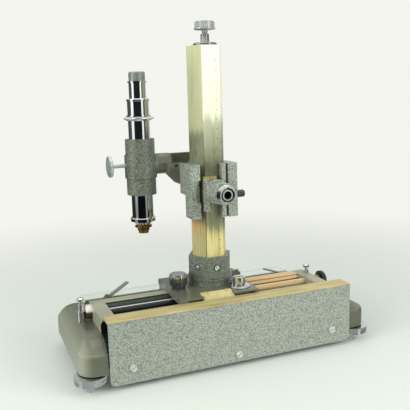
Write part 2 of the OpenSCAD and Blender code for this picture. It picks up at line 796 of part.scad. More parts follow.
module right_clamp_knob() {
    color([0.80, 0.80, 0.80])
    translate([right_knob_x, right_knob_y, plate_top + 2 + knob_gap]) difference() {
        union() {
            cylinder(d = right_knob_d, h = right_knob_h - 0.8);
            cylinder(d = right_knob_d - 1.6, h = right_knob_h);
            translate([0, 0, -carriage_t - 2]) cylinder(d = 5, h = carriage_t + 3);
        }
        translate([-right_knob_d, -0.9, right_knob_h - 2]) cube([2 * right_knob_d, 1.8, 4]);
    }
}

// Six-sided collar under the right knob
module knob_collar() {
    color([0.80, 0.80, 0.80])
    translate([right_knob_x, right_knob_y, plate_top]) difference() {
        union() {
            cylinder(d = knob_collar_d, h = 1.2);
            cylinder(d = knob_collar_d - 3, h = 2);
        }
        translate([0, 0, -1]) cylinder(d = 5 + 2 * run_gap, h = 4);
    }
}

// Cast socket of the column: round foot and hexagonal clamp
module column_socket() {
    color([0.52, 0.55, 0.52])
    difference() {
        union() {
            translate([column_x, column_y, plate_top]) cylinder(r = column_r + socket_wall - 1, h = socket_foot_h);
            translate([column_x, column_y, plate_top]) cylinder(r = column_r + socket_wall + 0.6, h = 2.4);
            translate([column_x, column_y, plate_top + socket_foot_h - 1.6]) cylinder(r = column_r + socket_wall + 0.9, h = 1.6);
            hexagon(column_af + 2 * socket_wall, plate_top + socket_foot_h - eps, plate_top + socket_foot_h + socket_h);
        }
        hexagon(column_af + 2 * column_gap, plate_top - 1, plate_top + socket_foot_h + socket_h + 1);
        for (a = [-90, -150, -30, 90]) socket_screw_at(a) {
            translate([0, 0, -socket_wall - 2]) cylinder(d = 4.2, h = socket_wall + 4);
            translate([0, 0, -screw_sink]) cylinder(d = 8, h = 3);
        }
    }
}

// Places a part on a face of the socket, its Z pointing out of the face
module socket_screw_at(a) {
    translate([column_x, column_y, plate_top + socket_foot_h + socket_h * 0.5]) rotate([0, 0, a]) rotate([0, 90, 0])
        translate([0, 0, column_af / 2 + socket_wall]) children();
}

module socket_screws() {
    color([0.75, 0.75, 0.75])
    for (a = [-90, -150, -30, 90]) socket_screw_at(a)
        translate([0, 0, -screw_sink]) slotted_screw(5.6, 1.6, 4, socket_wall - screw_sink - 0.1, 30);
}

// Hexagonal brass column, bored for the vertical screw and slotted down its back
module column() {
    color([0.78, 0.72, 0.50])
    difference() {
        hexagon(column_af, column_z, column_top);
        translate([column_x, screw_y, column_z + 6]) cylinder(d = column_bore, h = column_l);
        block([column_x - slot_w / 2, column_y, column_z + 40], [column_x + slot_w / 2, column_y + column_af, column_top - 12]);
    }
}

module column_cap() {
    color([0.80, 0.80, 0.80])
    translate([column_x, screw_y, column_top]) difference() {
        union() {
            cylinder(d = cap_d, h = cap_t - 1);
            cylinder(d = cap_d - 2, h = cap_t);
            cylinder(d = cap_boss_d, h = cap_t + cap_boss_h - 0.6);
            cylinder(d = cap_boss_d - 1.2, h = cap_t + cap_boss_h);
            translate([0, 0, -5]) cylinder(d = column_bore - 0.2, h = 6);
        }
        translate([0, 0, -6]) cylinder(d = 5 + 2 * run_gap, h = 40);
    }
}

module vertical_screw() {
    color([0.74, 0.75, 0.76])
    translate([column_x, screw_y, 0]) {
        translate([0, 0, column_z + 6.2]) cylinder(d = v_screw_d, h = column_l - 6.2 - 5.3);
        translate([0, 0, column_top - 8]) cylinder(d = 5, h = 8 + cap_t + cap_boss_h + neck_h);
    }
}

// Knob on top of the column, with a ball neck under a lobed rim
module top_knob() {
    color([0.78, 0.78, 0.78])
    translate([column_x, screw_y, column_top + cap_t + cap_boss_h + knob_gap]) difference() {
        union() {
            rotate_extrude() polygon(concat([[0, 0]], [for (i = [0:10]) [3.3 - 0.9 * abs(i - 5) * abs(i - 5) / 25, i * (neck_h + 0.2) / 10]],
                [[0, neck_h + 0.2]]));
            translate([0, 0, neck_h]) cylinder(d = top_knob_d + 0.6, h = 1.4);
            translate([0, 0, neck_h + 1]) fluted(top_knob_d - 0.8, top_knob_h - 1, 10, 3, 0.7);
        }
        translate([0, 0, -1]) cylinder(d = 5, h = neck_h + 0.7);
    }
}

// Slider round the column: yoke behind, cheeks, and a front with an open window
module vertical_carriage() {
    color([0.60, 0.63, 0.60])
    difference() {
        union() {
            block([slider_x0, slider_y0, slider_z_step()], [column_x, gusset_y, slider_top]);
            block([slider_x0 + 2.2, slider_y0, slider_bottom], [slider_x1, slider_y0 + cheek_d, slider_top]);
            hexagon(column_af + 2 * yoke_wall, slider_bottom, slider_top);
            block([column_x - 12, column_y + 8, slider_bottom], [column_x + 16, slider_y1, slider_top]);
            x_rod(9.5, slider_x1 - 2, slider_x1 + 4.5, clamp_y, clamp_z);
        }
        hexagon(column_af + 2 * column_gap, slider_bottom - 1, slider_top + 1);
        block([window_x0, slider_y0 - 1, slider_bottom - 1], [window_x1, column_y - column_af / 2, slider_top + 1]);
        block([window_x0, slider_y0 - 1, slider_bottom - 1], [column_x - column_r / 2, column_y - 9, slider_top + 1]);
        block([window_x0 - pocket_w, slider_y0 - 1, pocket_z - 7], [window_x0 + 1, slider_y0 + 3.5, pocket_z + 7]);
        for (i = [-1, 1])
            y_rod(2 * pocket_w, slider_y0 - 1, slider_y0 + 3.5, window_x0, pocket_z + 7 * i);
        block([column_x + 11.6, slider_y0 - 1, slider_bottom - 1], [column_x + 14.4, slider_y0 + 6, slider_top + 1]);
        x_rod(5 + 2 * run_gap, column_x + 8, slider_x1 + 6, clamp_y, clamp_z);
        block([column_x - slot_w / 2, column_y, slider_bottom + 12.7], [column_x + slot_w / 2, slider_y1 - 3, slider_bottom + 41.3]);
    }
}

// Level where the slider's left cheek steps in
function slider_z_step() = slider_bottom + 25.3;

// Nut on the vertical screw, keyed to the slider through the column's slot
module slider_nut() {
    color([0.70, 0.58, 0.33])
    difference() {
        union() {
            translate([column_x, screw_y, slider_bottom + 13]) cylinder(d = column_bore - 0.4, h = 28);
            block([column_x - slot_w / 2 + 0.15, column_y + 1, slider_bottom + 13],
                [column_x + slot_w / 2 - 0.15, slider_y1 - 3.2, slider_bottom + 41]);
        }
        translate([column_x, screw_y, slider_bottom]) cylinder(d = v_screw_d + 2 * run_gap, h = slider_h);
    }
}

module vertical_vernier() {
    color([0.76, 0.66, 0.34])
    block([window_x0 + 3.8, strap_y + 1, slider_bottom + 17.5], [window_x0 + 18.4, column_y - column_af / 2 - 0.3, slider_bottom + 45]);
}

// Upright strap with a round plate that carries the reader
module reader_strap() {
    color([0.60, 0.63, 0.60])
    difference() {
        union() {
            block([window_x0 + 2.8, strap_y - strap_t + 1, slider_bottom + 8.5], [window_x0 + 8.5, strap_y + 1, slider_bottom + 43]);
            y_rod(reader_d - 1, strap_y - strap_t + 1, strap_y + 1, reader_x, reader_z);
        }
        y_rod(14, strap_y - 5, strap_y + 2, reader_x, reader_z);
    }
}

// Stepped tube of the reader, bored for its lens
module reader_tube() {
    color([0.60, 0.63, 0.60])
    translate([reader_x, strap_y - strap_t + 1, reader_z]) rotate([90, 0, 0]) difference() {
        union() {
            cylinder(d = reader_d, h = 4);
            cylinder(d = reader_d - 2.4, h = reader_l * 0.55);
            cylinder(d = reader_d - 5, h = reader_l * 0.8);
        }
        translate([0, 0, -1]) cylinder(d = 14, h = reader_l);
    }
}

module reader_lens() {
    color([0.75, 0.82, 0.86, 0.4])
    translate([reader_x, strap_y - strap_t + 1 - reader_l * 0.6, reader_z]) rotate([90, 0, 0]) cylinder(d = 13.9, h = 3);
}

// Bright ring that holds the reader's lens, with three key slots
module reader_ring() {
    color([0.80, 0.80, 0.80])
    translate([reader_x, strap_y - strap_t + 1 - reader_l * 0.8, reader_z]) rotate([90, 0, 0]) difference() {
        union() {
            cylinder(d = ring_d, h = 2.6);
            cylinder(d = ring_d - 1.8, h = 5);
            cylinder(d = ring_d - 3.6, h = ring_l);
        }
        translate([0, 0, -1]) cylinder(d = 8.4, h = reader_l);
        translate([0, 0, ring_l - 2.6]) difference() {
            cylinder(d = ring_d - 6, h = 4);
            translate([0, 0, -1]) cylinder(d = 11, h = 2.8);
        }
        for (a = [90, 210, 330]) rotate(a) translate([6, -0.7, ring_l - 1.2]) cube([12, 1.4, 3]);
    }
}

// Screw that locks the slider on the column
module slider_clamp_screw() {
    color([0.45, 0.46, 0.48])
    union() {
        x_rod(5, column_x + clamp_tip, slider_x1 + 6.5, clamp_y, clamp_z);
        translate([slider_x1 + 4.5 + knob_gap, clamp_y, clamp_z]) rotate([0, 90, 0]) fluted(8, 9.8, 10, 1.6, 0.9);
    }
}

// Arm behind the column: gusset, bar and bored swivel boss
module arm_bracket() {
    color([0.50, 0.51, 0.47])
    difference() {
        union() {
            x_rod(boss_d, boss_x0, boss_x1, tube_y, pivot_z);
            block([boss_x1 - 6, slider_y1, pivot_z - 11], [column_x + 16, slider_y1 + 9, pivot_z + 10]);
            translate([0, slider_y1 + 1, 0]) rotate([90, 0, 0]) linear_extrude(slider_y1 + 1 - gusset_y) polygon([
                [boss_x1 - 7, pivot_z - 8.5], [boss_x1 - 7, pivot_z + 1], [slider_x0 + 7, pivot_z + 1], [slider_x0 + 7, pivot_z - 22],
                [slider_x0, pivot_z - 22]]);
        }
        x_rod(pin_d + 2 * run_gap, boss_x0 - 1, boss_x1 - 3, tube_y, pivot_z);
        y_rod(2.8, gusset_y - 1, gusset_y + 12, slider_x0 - 3.6, pivot_z - 1.8);
    }
}

// Stepped holder of the tube, with its swivel pin
module microscope_holder() {
    color([0.50, 0.52, 0.47])
    difference() {
        union() {
            translate([tube_x, tube_y, holder_low]) cylinder(d = holder_d - 2.8, h = holder_h);
            translate([tube_x, tube_y, holder_shoulder]) cylinder(d = holder_d - 3.6, h = holder_top - holder_shoulder);
            translate([tube_x, tube_y, holder_step]) cylinder(d = holder_d, h = holder_shoulder - holder_step);
            x_rod(boss_d, tube_x, tube_x + holder_d / 2, tube_y, pivot_z);
            x_rod(pin_d, tube_x + tube_d / 2 + 2, boss_x1 - 3.5, tube_y, pivot_z);
        }
        translate([tube_x, tube_y, holder_low - 1]) cylinder(d = tube_d + 2 * tube_gap, h = holder_h + 2);
        x_rod(4.3 + 2 * run_gap, tube_x - holder_d, tube_x, tube_y, pivot_z);
    }
}

// Round-headed screw that locks the tube in its holder
module tube_clamp_knob() {
    color([0.70, 0.71, 0.70])
    union() {
        x_rod(4.3, tube_x - holder_d / 2 - 16, tube_x - tube_d / 2 - 0.3, tube_y, pivot_z);
        translate([tube_x - holder_d / 2 - 18.6, tube_y, pivot_z]) rotate([0, 90, 0]) fluted(23, 3.6, 40, 1.6, 0.6);
    }
}

// Ring or tube on the microscope's axis
module turned(d, bore, z, h) {
    translate([tube_x, tube_y, z]) difference() {
        cylinder(d = d, h = h);
        if (bore > 0) translate([0, 0, -1]) cylinder(d = bore, h = h + 2);
    }
}

module body_tube() {
    color([0.72, 0.73, 0.75])
    turned(tube_d, tube_d - 2 * tube_wall, tube_low, tube_l);
}

// Sharp-edged flange on top of the body tube
module tube_flange() {
    color([0.78, 0.78, 0.78])
    translate([tube_x, tube_y, tube_top]) rotate_extrude() polygon([
        [draw_d / 2 + 0.4, 0], [tube_d / 2 + 0.6, 0], [flange_d / 2 - 0.8, 1.8], [flange_d / 2, 2.4], [flange_d / 2 - 0.8, 3],
        [tube_d / 2 + 1.4, 4.4], [tube_d / 2 + 1.4, flange_h], [draw_d / 2 + 0.4, flange_h]]);
}

module eyepiece_adapter() {
    color([0.76, 0.76, 0.76])
    translate([tube_x, tube_y, tube_top + flange_h]) rotate_extrude() polygon([
        [draw_d / 2 + tube_gap, 0], [tube_d / 2 + 0.1, 0], [tube_d / 2 + 0.1, adapter_h - 2.6],
        [tube_d / 2 + 0.9, adapter_h - 2.2], [tube_d / 2 + 0.9, adapter_h - 0.6], [tube_d / 2 + 0.3, adapter_h], [draw_d / 2 + tube_gap, adapter_h]]);
}

// Flange and taper at the tube's lower end
module nosepiece() {
    color([0.74, 0.74, 0.75])
    translate([tube_x, tube_y, tube_low]) rotate_extrude() polygon([
        [5, -nose_h], [7.6, -nose_h], [9.8, -4.6], [13.4, -4.2], [13.4, -0.8], [12.8, 0], [5, 0]]);
}

module objective() {
    color([0.55, 0.46, 0.26])
    translate([tube_x, tube_y, tube_low - nose_h - objective_l]) difference() {
        union() {
            translate([0, 0, 3]) cylinder(d = objective_d - 1, h = objective_l - 3);
            translate([0, 0, objective_l - 2]) fluted(objective_d + 4.6, 2, 36, 1.2, 0.3);
            cylinder(d = objective_d - 3, h = 4);
            translate([0, 0, objective_l - eps]) cylinder(d = 9.9, h = 4);
        }
        translate([0, 0, -1]) cylinder(d = 6, h = 20);
    }
}

module objective_lens() {
    color([0.75, 0.82, 0.86, 0.4])
    translate([tube_x, tube_y, tube_low - nose_h - objective_l + 1]) cylinder(d = 5.9, h = 2.4);
}

module draw_tube() {
    color([0.76, 0.76, 0.76])
    union() {
        turned(draw_d, draw_d - 2.4, draw_top - draw_l, draw_l);
        turned(draw_d + 2, draw_d - 2.4, draw_top, 1.6);
    }
}

module eyepiece_cap() {
    color([0.52, 0.54, 0.50])
    translate([tube_x, tube_y, draw_top + 1.6]) difference() {
        union() {
            cylinder(d = draw_d - 0.6, h = cap_h - 0.8);
            cylinder(d = draw_d - 1.8, h = cap_h);
        }
        translate([0, 0, -1]) cylinder(d = draw_d - 5, h = cap_h - 1);
        cylinder(d = 6, h = cap_h + 1);
        translate([0, 0, cap_h - 1.2]) cylinder(d = draw_d - 4, h = 2);
    }
}

// Eye lens in the cap, and field lens and cross-wire glass in the draw tube
module eyepiece_lenses() {
    color([0.75, 0.82, 0.86, 0.4])
    union() {
        turned(draw_d - 5.1, 0, draw_top + 4, 3);
        turned(draw_d - 2.5, 0, draw_top - 18, 3);
        turned(draw_d - 2.5, 0, draw_top - 26, 1.2);
    }
}

base_casting();
base_plate();
base_plate_screws();
foot_left();
foot_right();
foot_rear();
bed_left_end();
bed_right_end();
bed_front_rail();
bed_rear_rail();
guide_rod();
rod_post_left();
rod_post_right();
thumb_screw_left();
thumb_screw_right();
front_cover();
cover_screws();
horizontal_scale();
screw_bearing();
lead_screw();
handwheel();
stage_glass();
clip_screws();
clip_left();
clip_right();
carriage_plate();
carriage_rear_block();
carriage_nut();
horizontal_vernier();
vernier_screws();
stop_lug();
left_clamp_knob();
right_clamp_knob();
knob_collar();
column_socket();
socket_screws();
column();
column_cap();
vertical_screw();
top_knob();
vertical_carriage();
slider_nut();
vertical_vernier();
reader_strap();
reader_tube();
reader_lens();
reader_ring();
slider_clamp_screw();
arm_bracket();
microscope_holder();
tube_clamp_knob();
body_tube();
tube_flange();
eyepiece_adapter();
nosepiece();
objective();
objective_lens();
draw_tube();
eyepiece_cap();
eyepiece_lenses();
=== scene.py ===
import json
import math

import bmesh
import bpy
import numpy as np
from mathutils import Matrix, Vector


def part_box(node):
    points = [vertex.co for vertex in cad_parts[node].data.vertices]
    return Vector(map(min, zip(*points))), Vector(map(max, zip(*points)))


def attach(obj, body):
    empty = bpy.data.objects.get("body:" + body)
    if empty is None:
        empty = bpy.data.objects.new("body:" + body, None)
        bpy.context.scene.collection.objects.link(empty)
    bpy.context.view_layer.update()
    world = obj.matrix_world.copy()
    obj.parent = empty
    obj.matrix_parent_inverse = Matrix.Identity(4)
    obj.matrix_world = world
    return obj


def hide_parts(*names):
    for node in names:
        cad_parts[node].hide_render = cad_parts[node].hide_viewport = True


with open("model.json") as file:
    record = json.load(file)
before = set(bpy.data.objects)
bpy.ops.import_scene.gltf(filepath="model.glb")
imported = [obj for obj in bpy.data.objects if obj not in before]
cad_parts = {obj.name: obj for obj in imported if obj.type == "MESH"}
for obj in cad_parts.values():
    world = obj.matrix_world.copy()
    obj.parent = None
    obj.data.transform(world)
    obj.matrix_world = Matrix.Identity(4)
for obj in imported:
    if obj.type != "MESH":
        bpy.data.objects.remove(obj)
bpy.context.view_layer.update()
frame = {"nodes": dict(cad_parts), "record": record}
nodes = frame["nodes"]
bodyOf = {name: body for body, names in frame["record"]["behaviour"]["bodies"].items() for name in names}
print("frame loaded:", len(nodes), "nodes")


# node helpers for the finishes

def addNode(tree, kind, **settings):
    node = tree.nodes.new(kind)
    for key, value in settings.items():
        setattr(node, key, value)
    return node


def setInputs(node, values):
    for name, value in values.items():
        node.inputs[name].default_value = value


def newMaterial(name):
    mat = bpy.data.materials.new(name)
    mat.use_nodes = True
    tree = mat.node_tree
    tree.nodes.clear()
    out = addNode(tree, "ShaderNodeOutputMaterial")
    shader = addNode(tree, "ShaderNodeBsdfPrincipled")
    tree.links.new(shader.outputs["BSDF"], out.inputs["Surface"])
    return mat, tree, shader


def objectCoords(tree, scale=(1, 1, 1), move=(0, 0, 0)):
    coords = addNode(tree, "ShaderNodeTexCoord")
    mapping = addNode(tree, "ShaderNodeMapping")
    setInputs(mapping, {"Location": move, "Scale": scale})
    tree.links.new(coords.outputs["Object"], mapping.inputs["Vector"])
    return mapping.outputs["Vector"]


def noiseOf(tree, vector, scale, detail, rough=0.5):
    noise = addNode(tree, "ShaderNodeTexNoise")
    setInputs(noise, {"Scale": scale, "Detail": detail, "Roughness": rough})
    tree.links.new(vector, noise.inputs["Vector"])
    return noise.outputs["Fac"]


def rangeOf(tree, value, low, high, outLow=0.0, outHigh=1.0, kind="LINEAR"):
    node = addNode(tree, "ShaderNodeMapRange", clamp=True, interpolation_type=kind)
    setInputs(node, {"From Min": low, "From Max": high, "To Min": outLow, "To Max": outHigh})
    tree.links.new(value, node.inputs["Value"])
    return node.outputs["Result"]


def rampOf(tree, value, stops):
    ramp = addNode(tree, "ShaderNodeValToRGB")
    elements = ramp.color_ramp.elements
    while len(elements) < len(stops):
        elements.new(0.5)
    for element, (place, colour) in zip(elements, stops):
        element.position = place
        element.color = (*colour, 1)
    tree.links.new(value, ramp.inputs["Fac"])
    return ramp.outputs["Color"]


def mixColour(tree, factor, a, b, blend="MIX"):
    mix = addNode(tree, "ShaderNodeMix", data_type="RGBA", blend_type=blend)
    sockets = [mix.inputs[name] for name in ("Factor", "A", "B")]
    for socket, source in zip(sockets, (factor, a, b)):
        if isinstance(source, (int, float)):
            socket.default_value = source
        elif isinstance(source, tuple):
            socket.default_value = (*source, 1)
        else:
            tree.links.new(source, socket)
    return mix.outputs["Result"]


def mathOf(tree, operation, *values):
    node = addNode(tree, "ShaderNodeMath", operation=operation)
    for socket, source in zip(node.inputs, values):
        if isinstance(source, (int, float)):
            socket.default_value = source
        else:
            tree.links.new(source, socket)
    return node.outputs["Value"]


def timesOf(tree, first, *others):
    # product of two or more values
    for other in others:
        first = mathOf(tree, "MULTIPLY", first, other)
    return first


def betweenOf(tree, value, low, high):
    # 1 where the value is past low and short of high
    return timesOf(tree, mathOf(tree, "GREATER_THAN", value, low), mathOf(tree, "LESS_THAN", value, high))


def nearOf(tree, value, place, reach):
    # 1 where the value is within reach of a place
    gap = mathOf(tree, "ABSOLUTE", mathOf(tree, "SUBTRACT", value, place))
    return mathOf(tree, "LESS_THAN", gap, reach)


def ruledOf(tree, value, step, half):
    # 1 in a thin band halfway through each step; half is the band's half width as a share of the step
    return nearOf(tree, mathOf(tree, "FRACT", mathOf(tree, "DIVIDE", value, step)), 0.5, half)


def splitOf(tree, vector):
    split = addNode(tree, "ShaderNodeSeparateXYZ")
    tree.links.new(vector, split.inputs["Vector"])
    return split.outputs["X"], split.outputs["Y"], split.outputs["Z"]


def insideOf(tree, where, low, high):
    # 1 inside a box given by its limits in metres
    sides = [betweenOf(tree, *side) for side in zip(splitOf(tree, where), low, high)]
    return timesOf(tree, *sides)


def roughnessFrom(tree, shader, value, spread, least, most):
    # roughness goes from least to most as the value crosses its spread
    tree.links.new(rangeOf(tree, value, *spread, least, most), shader.inputs["Roughness"])


def bumpOf(tree, shader, height, strength, distance):
    bump = addNode(tree, "ShaderNodeBump")
    setInputs(bump, {"Strength": strength, "Distance": distance})
    tree.links.new(height, bump.inputs["Height"])
    tree.links.new(bump.outputs["Normal"], shader.inputs["Normal"])


def srgb(r, g, b):
    # display colour 0-255 to the linear value that a socket wants
    c = np.array([r, g, b]) / 255
    linear = np.where(c <= 0.04045, c / 12.92, ((c + 0.055) / 1.055) ** 2.4)
    return tuple(float(v) for v in linear)


# finishes: noise sizes are in cells per metre, a spread is the part of the noise that is used,
# and a bump is its strength and its distance in metres

# low and high limits of the unlit space between the front cover, the bed and the casting's crown; the paints
# put painted shade, a near black, inside them
behindCover = ((-0.1349, -0.0732, 0.0240), (0.1386, -0.0462, 0.0661))

# smooth olive enamel in two close tones
smoothPaintLook = {
    "low": srgb(80, 83, 67), "high": srgb(96, 99, 82), "patch": 28, "patchSpread": (0.35, 0.7),
    "rough": 0.32, "roughSpan": (-0.05, 0.08), "coat": 0.45, "coatRough": 0.12,
    "grain": 420, "grainSpread": (0.3, 0.7), "bump": (0.12, 0.0004),
    "shade": srgb(22, 23, 20),   # colour inside the "shaded" limits
}
castingPaintLook = {
    **smoothPaintLook, "shaded": behindCover,
    "endSheen": srgb(140, 144, 126), "endSheenX": (-0.1605, -0.1500), "endSheenShare": 0.8,   # painted reflection of the bright backdrop: the left end wall lighter
}
bedPaintLook = {
    **smoothPaintLook, "low": srgb(130, 132, 110), "high": srgb(148, 150, 128),
    "rough": 0.34, "coat": 0.2, "shaded": behindCover,
}


def makeSmoothPaint(name, look):
    mat, tree, shader = newMaterial(name)
    where = objectCoords(tree)
    patches = rangeOf(tree, noiseOf(tree, where, look["patch"], detail=4), *look["patchSpread"])
    colour = mixColour(tree, patches, look["low"], look["high"])
    # painted reflection: lighter towards the casting's left end wall
    if "endSheen" in look:
        x = splitOf(tree, where)[0]
        colour = mixColour(tree, rangeOf(tree, x, *look["endSheenX"], look["endSheenShare"], 0.0), colour, look["endSheen"])
    # painted shade in the unlit space behind the cover
    if "shaded" in look:
        colour = mixColour(tree, insideOf(tree, where, *look["shaded"]), colour, look["shade"])
    tree.links.new(colour, shader.inputs["Base Color"])
    grain = noiseOf(tree, where, look["grain"], detail=2)
    less, more = look["roughSpan"]
    roughnessFrom(tree, shader, grain, look["grainSpread"], look["rough"] + less, look["rough"] + more)
    setInputs(shader, {"Coat Weight": look["coat"], "Coat Roughness": look["coatRough"]})
    bumpOf(tree, shader, grain, *look["bump"])
    return mat


smoothPaint = makeSmoothPaint("smoothOlivePaint", smoothPaintLook)
castingPaint = makeSmoothPaint("castingPaint", castingPaintLook)
bedPaint = makeSmoothPaint("bedPaint", bedPaintLook)


# metallic paint that dries in small dimples: dark rims, light centres
hammeredPaintLook = {
    "low": srgb(92, 99, 88), "high": srgb(176, 184, 170), "cell": 820, "smooth": 0.6, "rimSpread": (0.1, 0.75),
    "warp": 0.62,                    # size of the noise mixed in, as a share of the cells
    "rimShare": 0.55, "warpShare": 0.6, "mixSpread": (0.35, 0.85),
    "metal": 0.25, "rough": 0.32, "coat": 0.35, "coatRough": 0.15, "bump": (0.4, 0.0004),
    "shade": srgb(20, 21, 18),
}
holderPaintLook = {**hammeredPaintLook, "low": srgb(72, 77, 65), "high": srgb(126, 133, 119), "rough": 0.34}
coverPaintLook = {
    **hammeredPaintLook, "low": srgb(122, 129, 117), "high": srgb(172, 180, 167),
    "cell": 760, "rough": 0.38, "shaded": behindCover,
}


def makeHammeredPaint(name, look):
    mat, tree, shader = newMaterial(name)
    where = objectCoords(tree)
    warp = noiseOf(tree, where, look["cell"] * look["warp"], detail=3)
    cells = addNode(tree, "ShaderNodeTexVoronoi", feature="SMOOTH_F1")
    setInputs(cells, {"Scale": look["cell"], "Smoothness": look["smooth"]})
    tree.links.new(where, cells.inputs["Vector"])
    rims = rangeOf(tree, cells.outputs["Distance"], *look["rimSpread"])
    dimples = mathOf(tree, "ADD", timesOf(tree, rims, look["rimShare"]), timesOf(tree, warp, look["warpShare"]))
    colour = mixColour(tree, rangeOf(tree, dimples, *look["mixSpread"]), look["high"], look["low"])
    # painted shade in the unlit space behind the cover
    if "shaded" in look:
        colour = mixColour(tree, insideOf(tree, where, *look["shaded"]), colour, look["shade"])
    tree.links.new(colour, shader.inputs["Base Color"])
    setInputs(shader, {"Metallic": look["metal"], "Roughness": look["rough"],
                       "Coat Weight": look["coat"], "Coat Roughness": look["coatRough"]})
    bumpOf(tree, shader, dimples, *look["bump"])
    return mat


hammeredPaint = makeHammeredPaint("hammeredPaint", hammeredPaintLook)
holderPaint = makeHammeredPaint("holderPaint", holderPaintLook)
coverPaint = makeHammeredPaint("coverPaint", coverPaintLook)


# plated metal with a faint smear in its gloss
chromeLook = {
    "colour": srgb(222, 224, 226), "rough": 0.09, "roughShares": (0.7, 1.7),
    "smear": 90, "smearSpread": (0.3, 0.75),
}
satinPlateLook = {**chromeLook, "colour": srgb(190, 192, 190), "rough": 0.24}


def makeChrome(name, look):
    mat, tree, shader = newMaterial(name)
    setInputs(shader, {"Base Color": (*look["colour"], 1), "Metallic": 1.0})
    smear = noiseOf(tree, objectCoords(tree), look["smear"], detail=4)
    less, more = look["roughShares"]
    roughnessFrom(tree, shader, smear, look["smearSpread"], look["rough"] * less, look["rough"] * more)
    return mat


chrome = makeChrome("chromePlate", chromeLook)
dullChrome = makeChrome("satinPlate", satinPlateLook)


# a knurled knob: bright from its top edge up; below it the plate is painted darker and bluer, a painted
# reflection of dark surroundings
knurledPlateLook = {
    "groove": srgb(128, 134, 146), "plate": srgb(224, 226, 226),
    "edgeDown": 0.0030, "fade": 0.0012,   # the edge is this far below the knob's top
    "rough": (0.06, 0.16), "smear": 90, "smearSpread": (0.3, 0.75),
}


def makeKnurledPlate(name, look, topZ):
    mat, tree, shader = newMaterial(name)
    where = objectCoords(tree)
    z = splitOf(tree, where)[2]
    edge = topZ - look["edgeDown"]
    # painted reflection: darker below the edge, bright plate above it
    bright = rangeOf(tree, z, edge - look["fade"], edge)
    tree.links.new(mixColour(tree, bright, look["groove"], look["plate"]), shader.inputs["Base Color"])
    shader.inputs["Metallic"].default_value = 1.0
    smear = noiseOf(tree, where, look["smear"], detail=4)
    roughnessFrom(tree, shader, smear, look["smearSpread"], *look["rough"])
    return mat


knurledPlate = makeKnurledPlate("knurledPlate", knurledPlateLook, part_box("left_clamp_knob")[1][2])


columnLook = {
    "topZ": 0.330, "bottomZ": 0.074,
    "edgeX": -0.0103, "edgeBlend": 0.0006,                # edge between the column's left and front faces
    "streaks": (420, 420, 9), "streakSpread": (0.3, 0.7), "wobble": 0.035,   # wobble: metres
    # tarnish up the front face and up the side faces: share of the height, then display colour. The bright
    # cream high on the front face is a painted reflection of a window, and the side faces are darker than the
    # front with tarnish and painted shade together
    "front": [
        (0.00, (196, 186, 128)), (0.17, (226, 214, 148)), (0.21, (220, 208, 142)),
        (0.26, (130, 134, 102)), (0.51, (100, 103, 80)), (0.60, (156, 160, 128)),
        (0.69, (180, 185, 155)), (0.73, (228, 229, 202)), (1.00, (234, 233, 216)),
    ],
    "side": [
        (0.00, (166, 156, 106)), (0.20, (178, 174, 124)), (0.26, (188, 158, 104)), (0.30, (132, 130, 105)),
        (0.64, (122, 128, 101)), (0.67, (172, 174, 137)), (1.00, (184, 188, 148)),
    ],
    # dull film in the streaks and in broad patches: its share falls from low to high between two heights
    "patches": (70, 70, 14), "filmStreaks": 0.6, "filmPatches": 0.5, "filmSpread": (0.5, 0.78),
    "filmHeights": (0.66, 0.74), "filmShares": (0.8, 0.12), "filmOnSides": 0.55,
    "filmColour": srgb(150, 150, 128),
    # dark blotches round the slider: they come in and go out between these heights
    "blotches": (70, 70, 50), "blotchSpread": (0.48, 0.62), "blotchIn": (0.34, 0.42), "blotchOut": (0.58, 0.66),
    "blotchShare": 0.6, "blotchColour": srgb(84, 90, 72),
    # dark line down the edge between the two faces, gone above these heights
    "lineHalf": 0.00045, "lineHeights": (0.50, 0.66), "lineShare": 0.75, "lineColour": srgb(66, 66, 46),
    # ruled scale in metres: marks centred on markX, and fine lines right of fineX, on what is in front of faceY
    "markStep": 0.010, "markHalf": 0.00035, "markX": 0.0052, "markReach": 0.0011, "markTop": 0.3165,
    "finePerMark": 10, "fineHalf": 0.07, "fineX": 0.0066, "fineShare": 0.22,
    "faceY": -0.0218, "markShare": 0.75, "markColour": srgb(84, 78, 54),
    "metal": 0.3, "rough": (0.32, 0.50), "bump": (0.15, 0.0003),
}


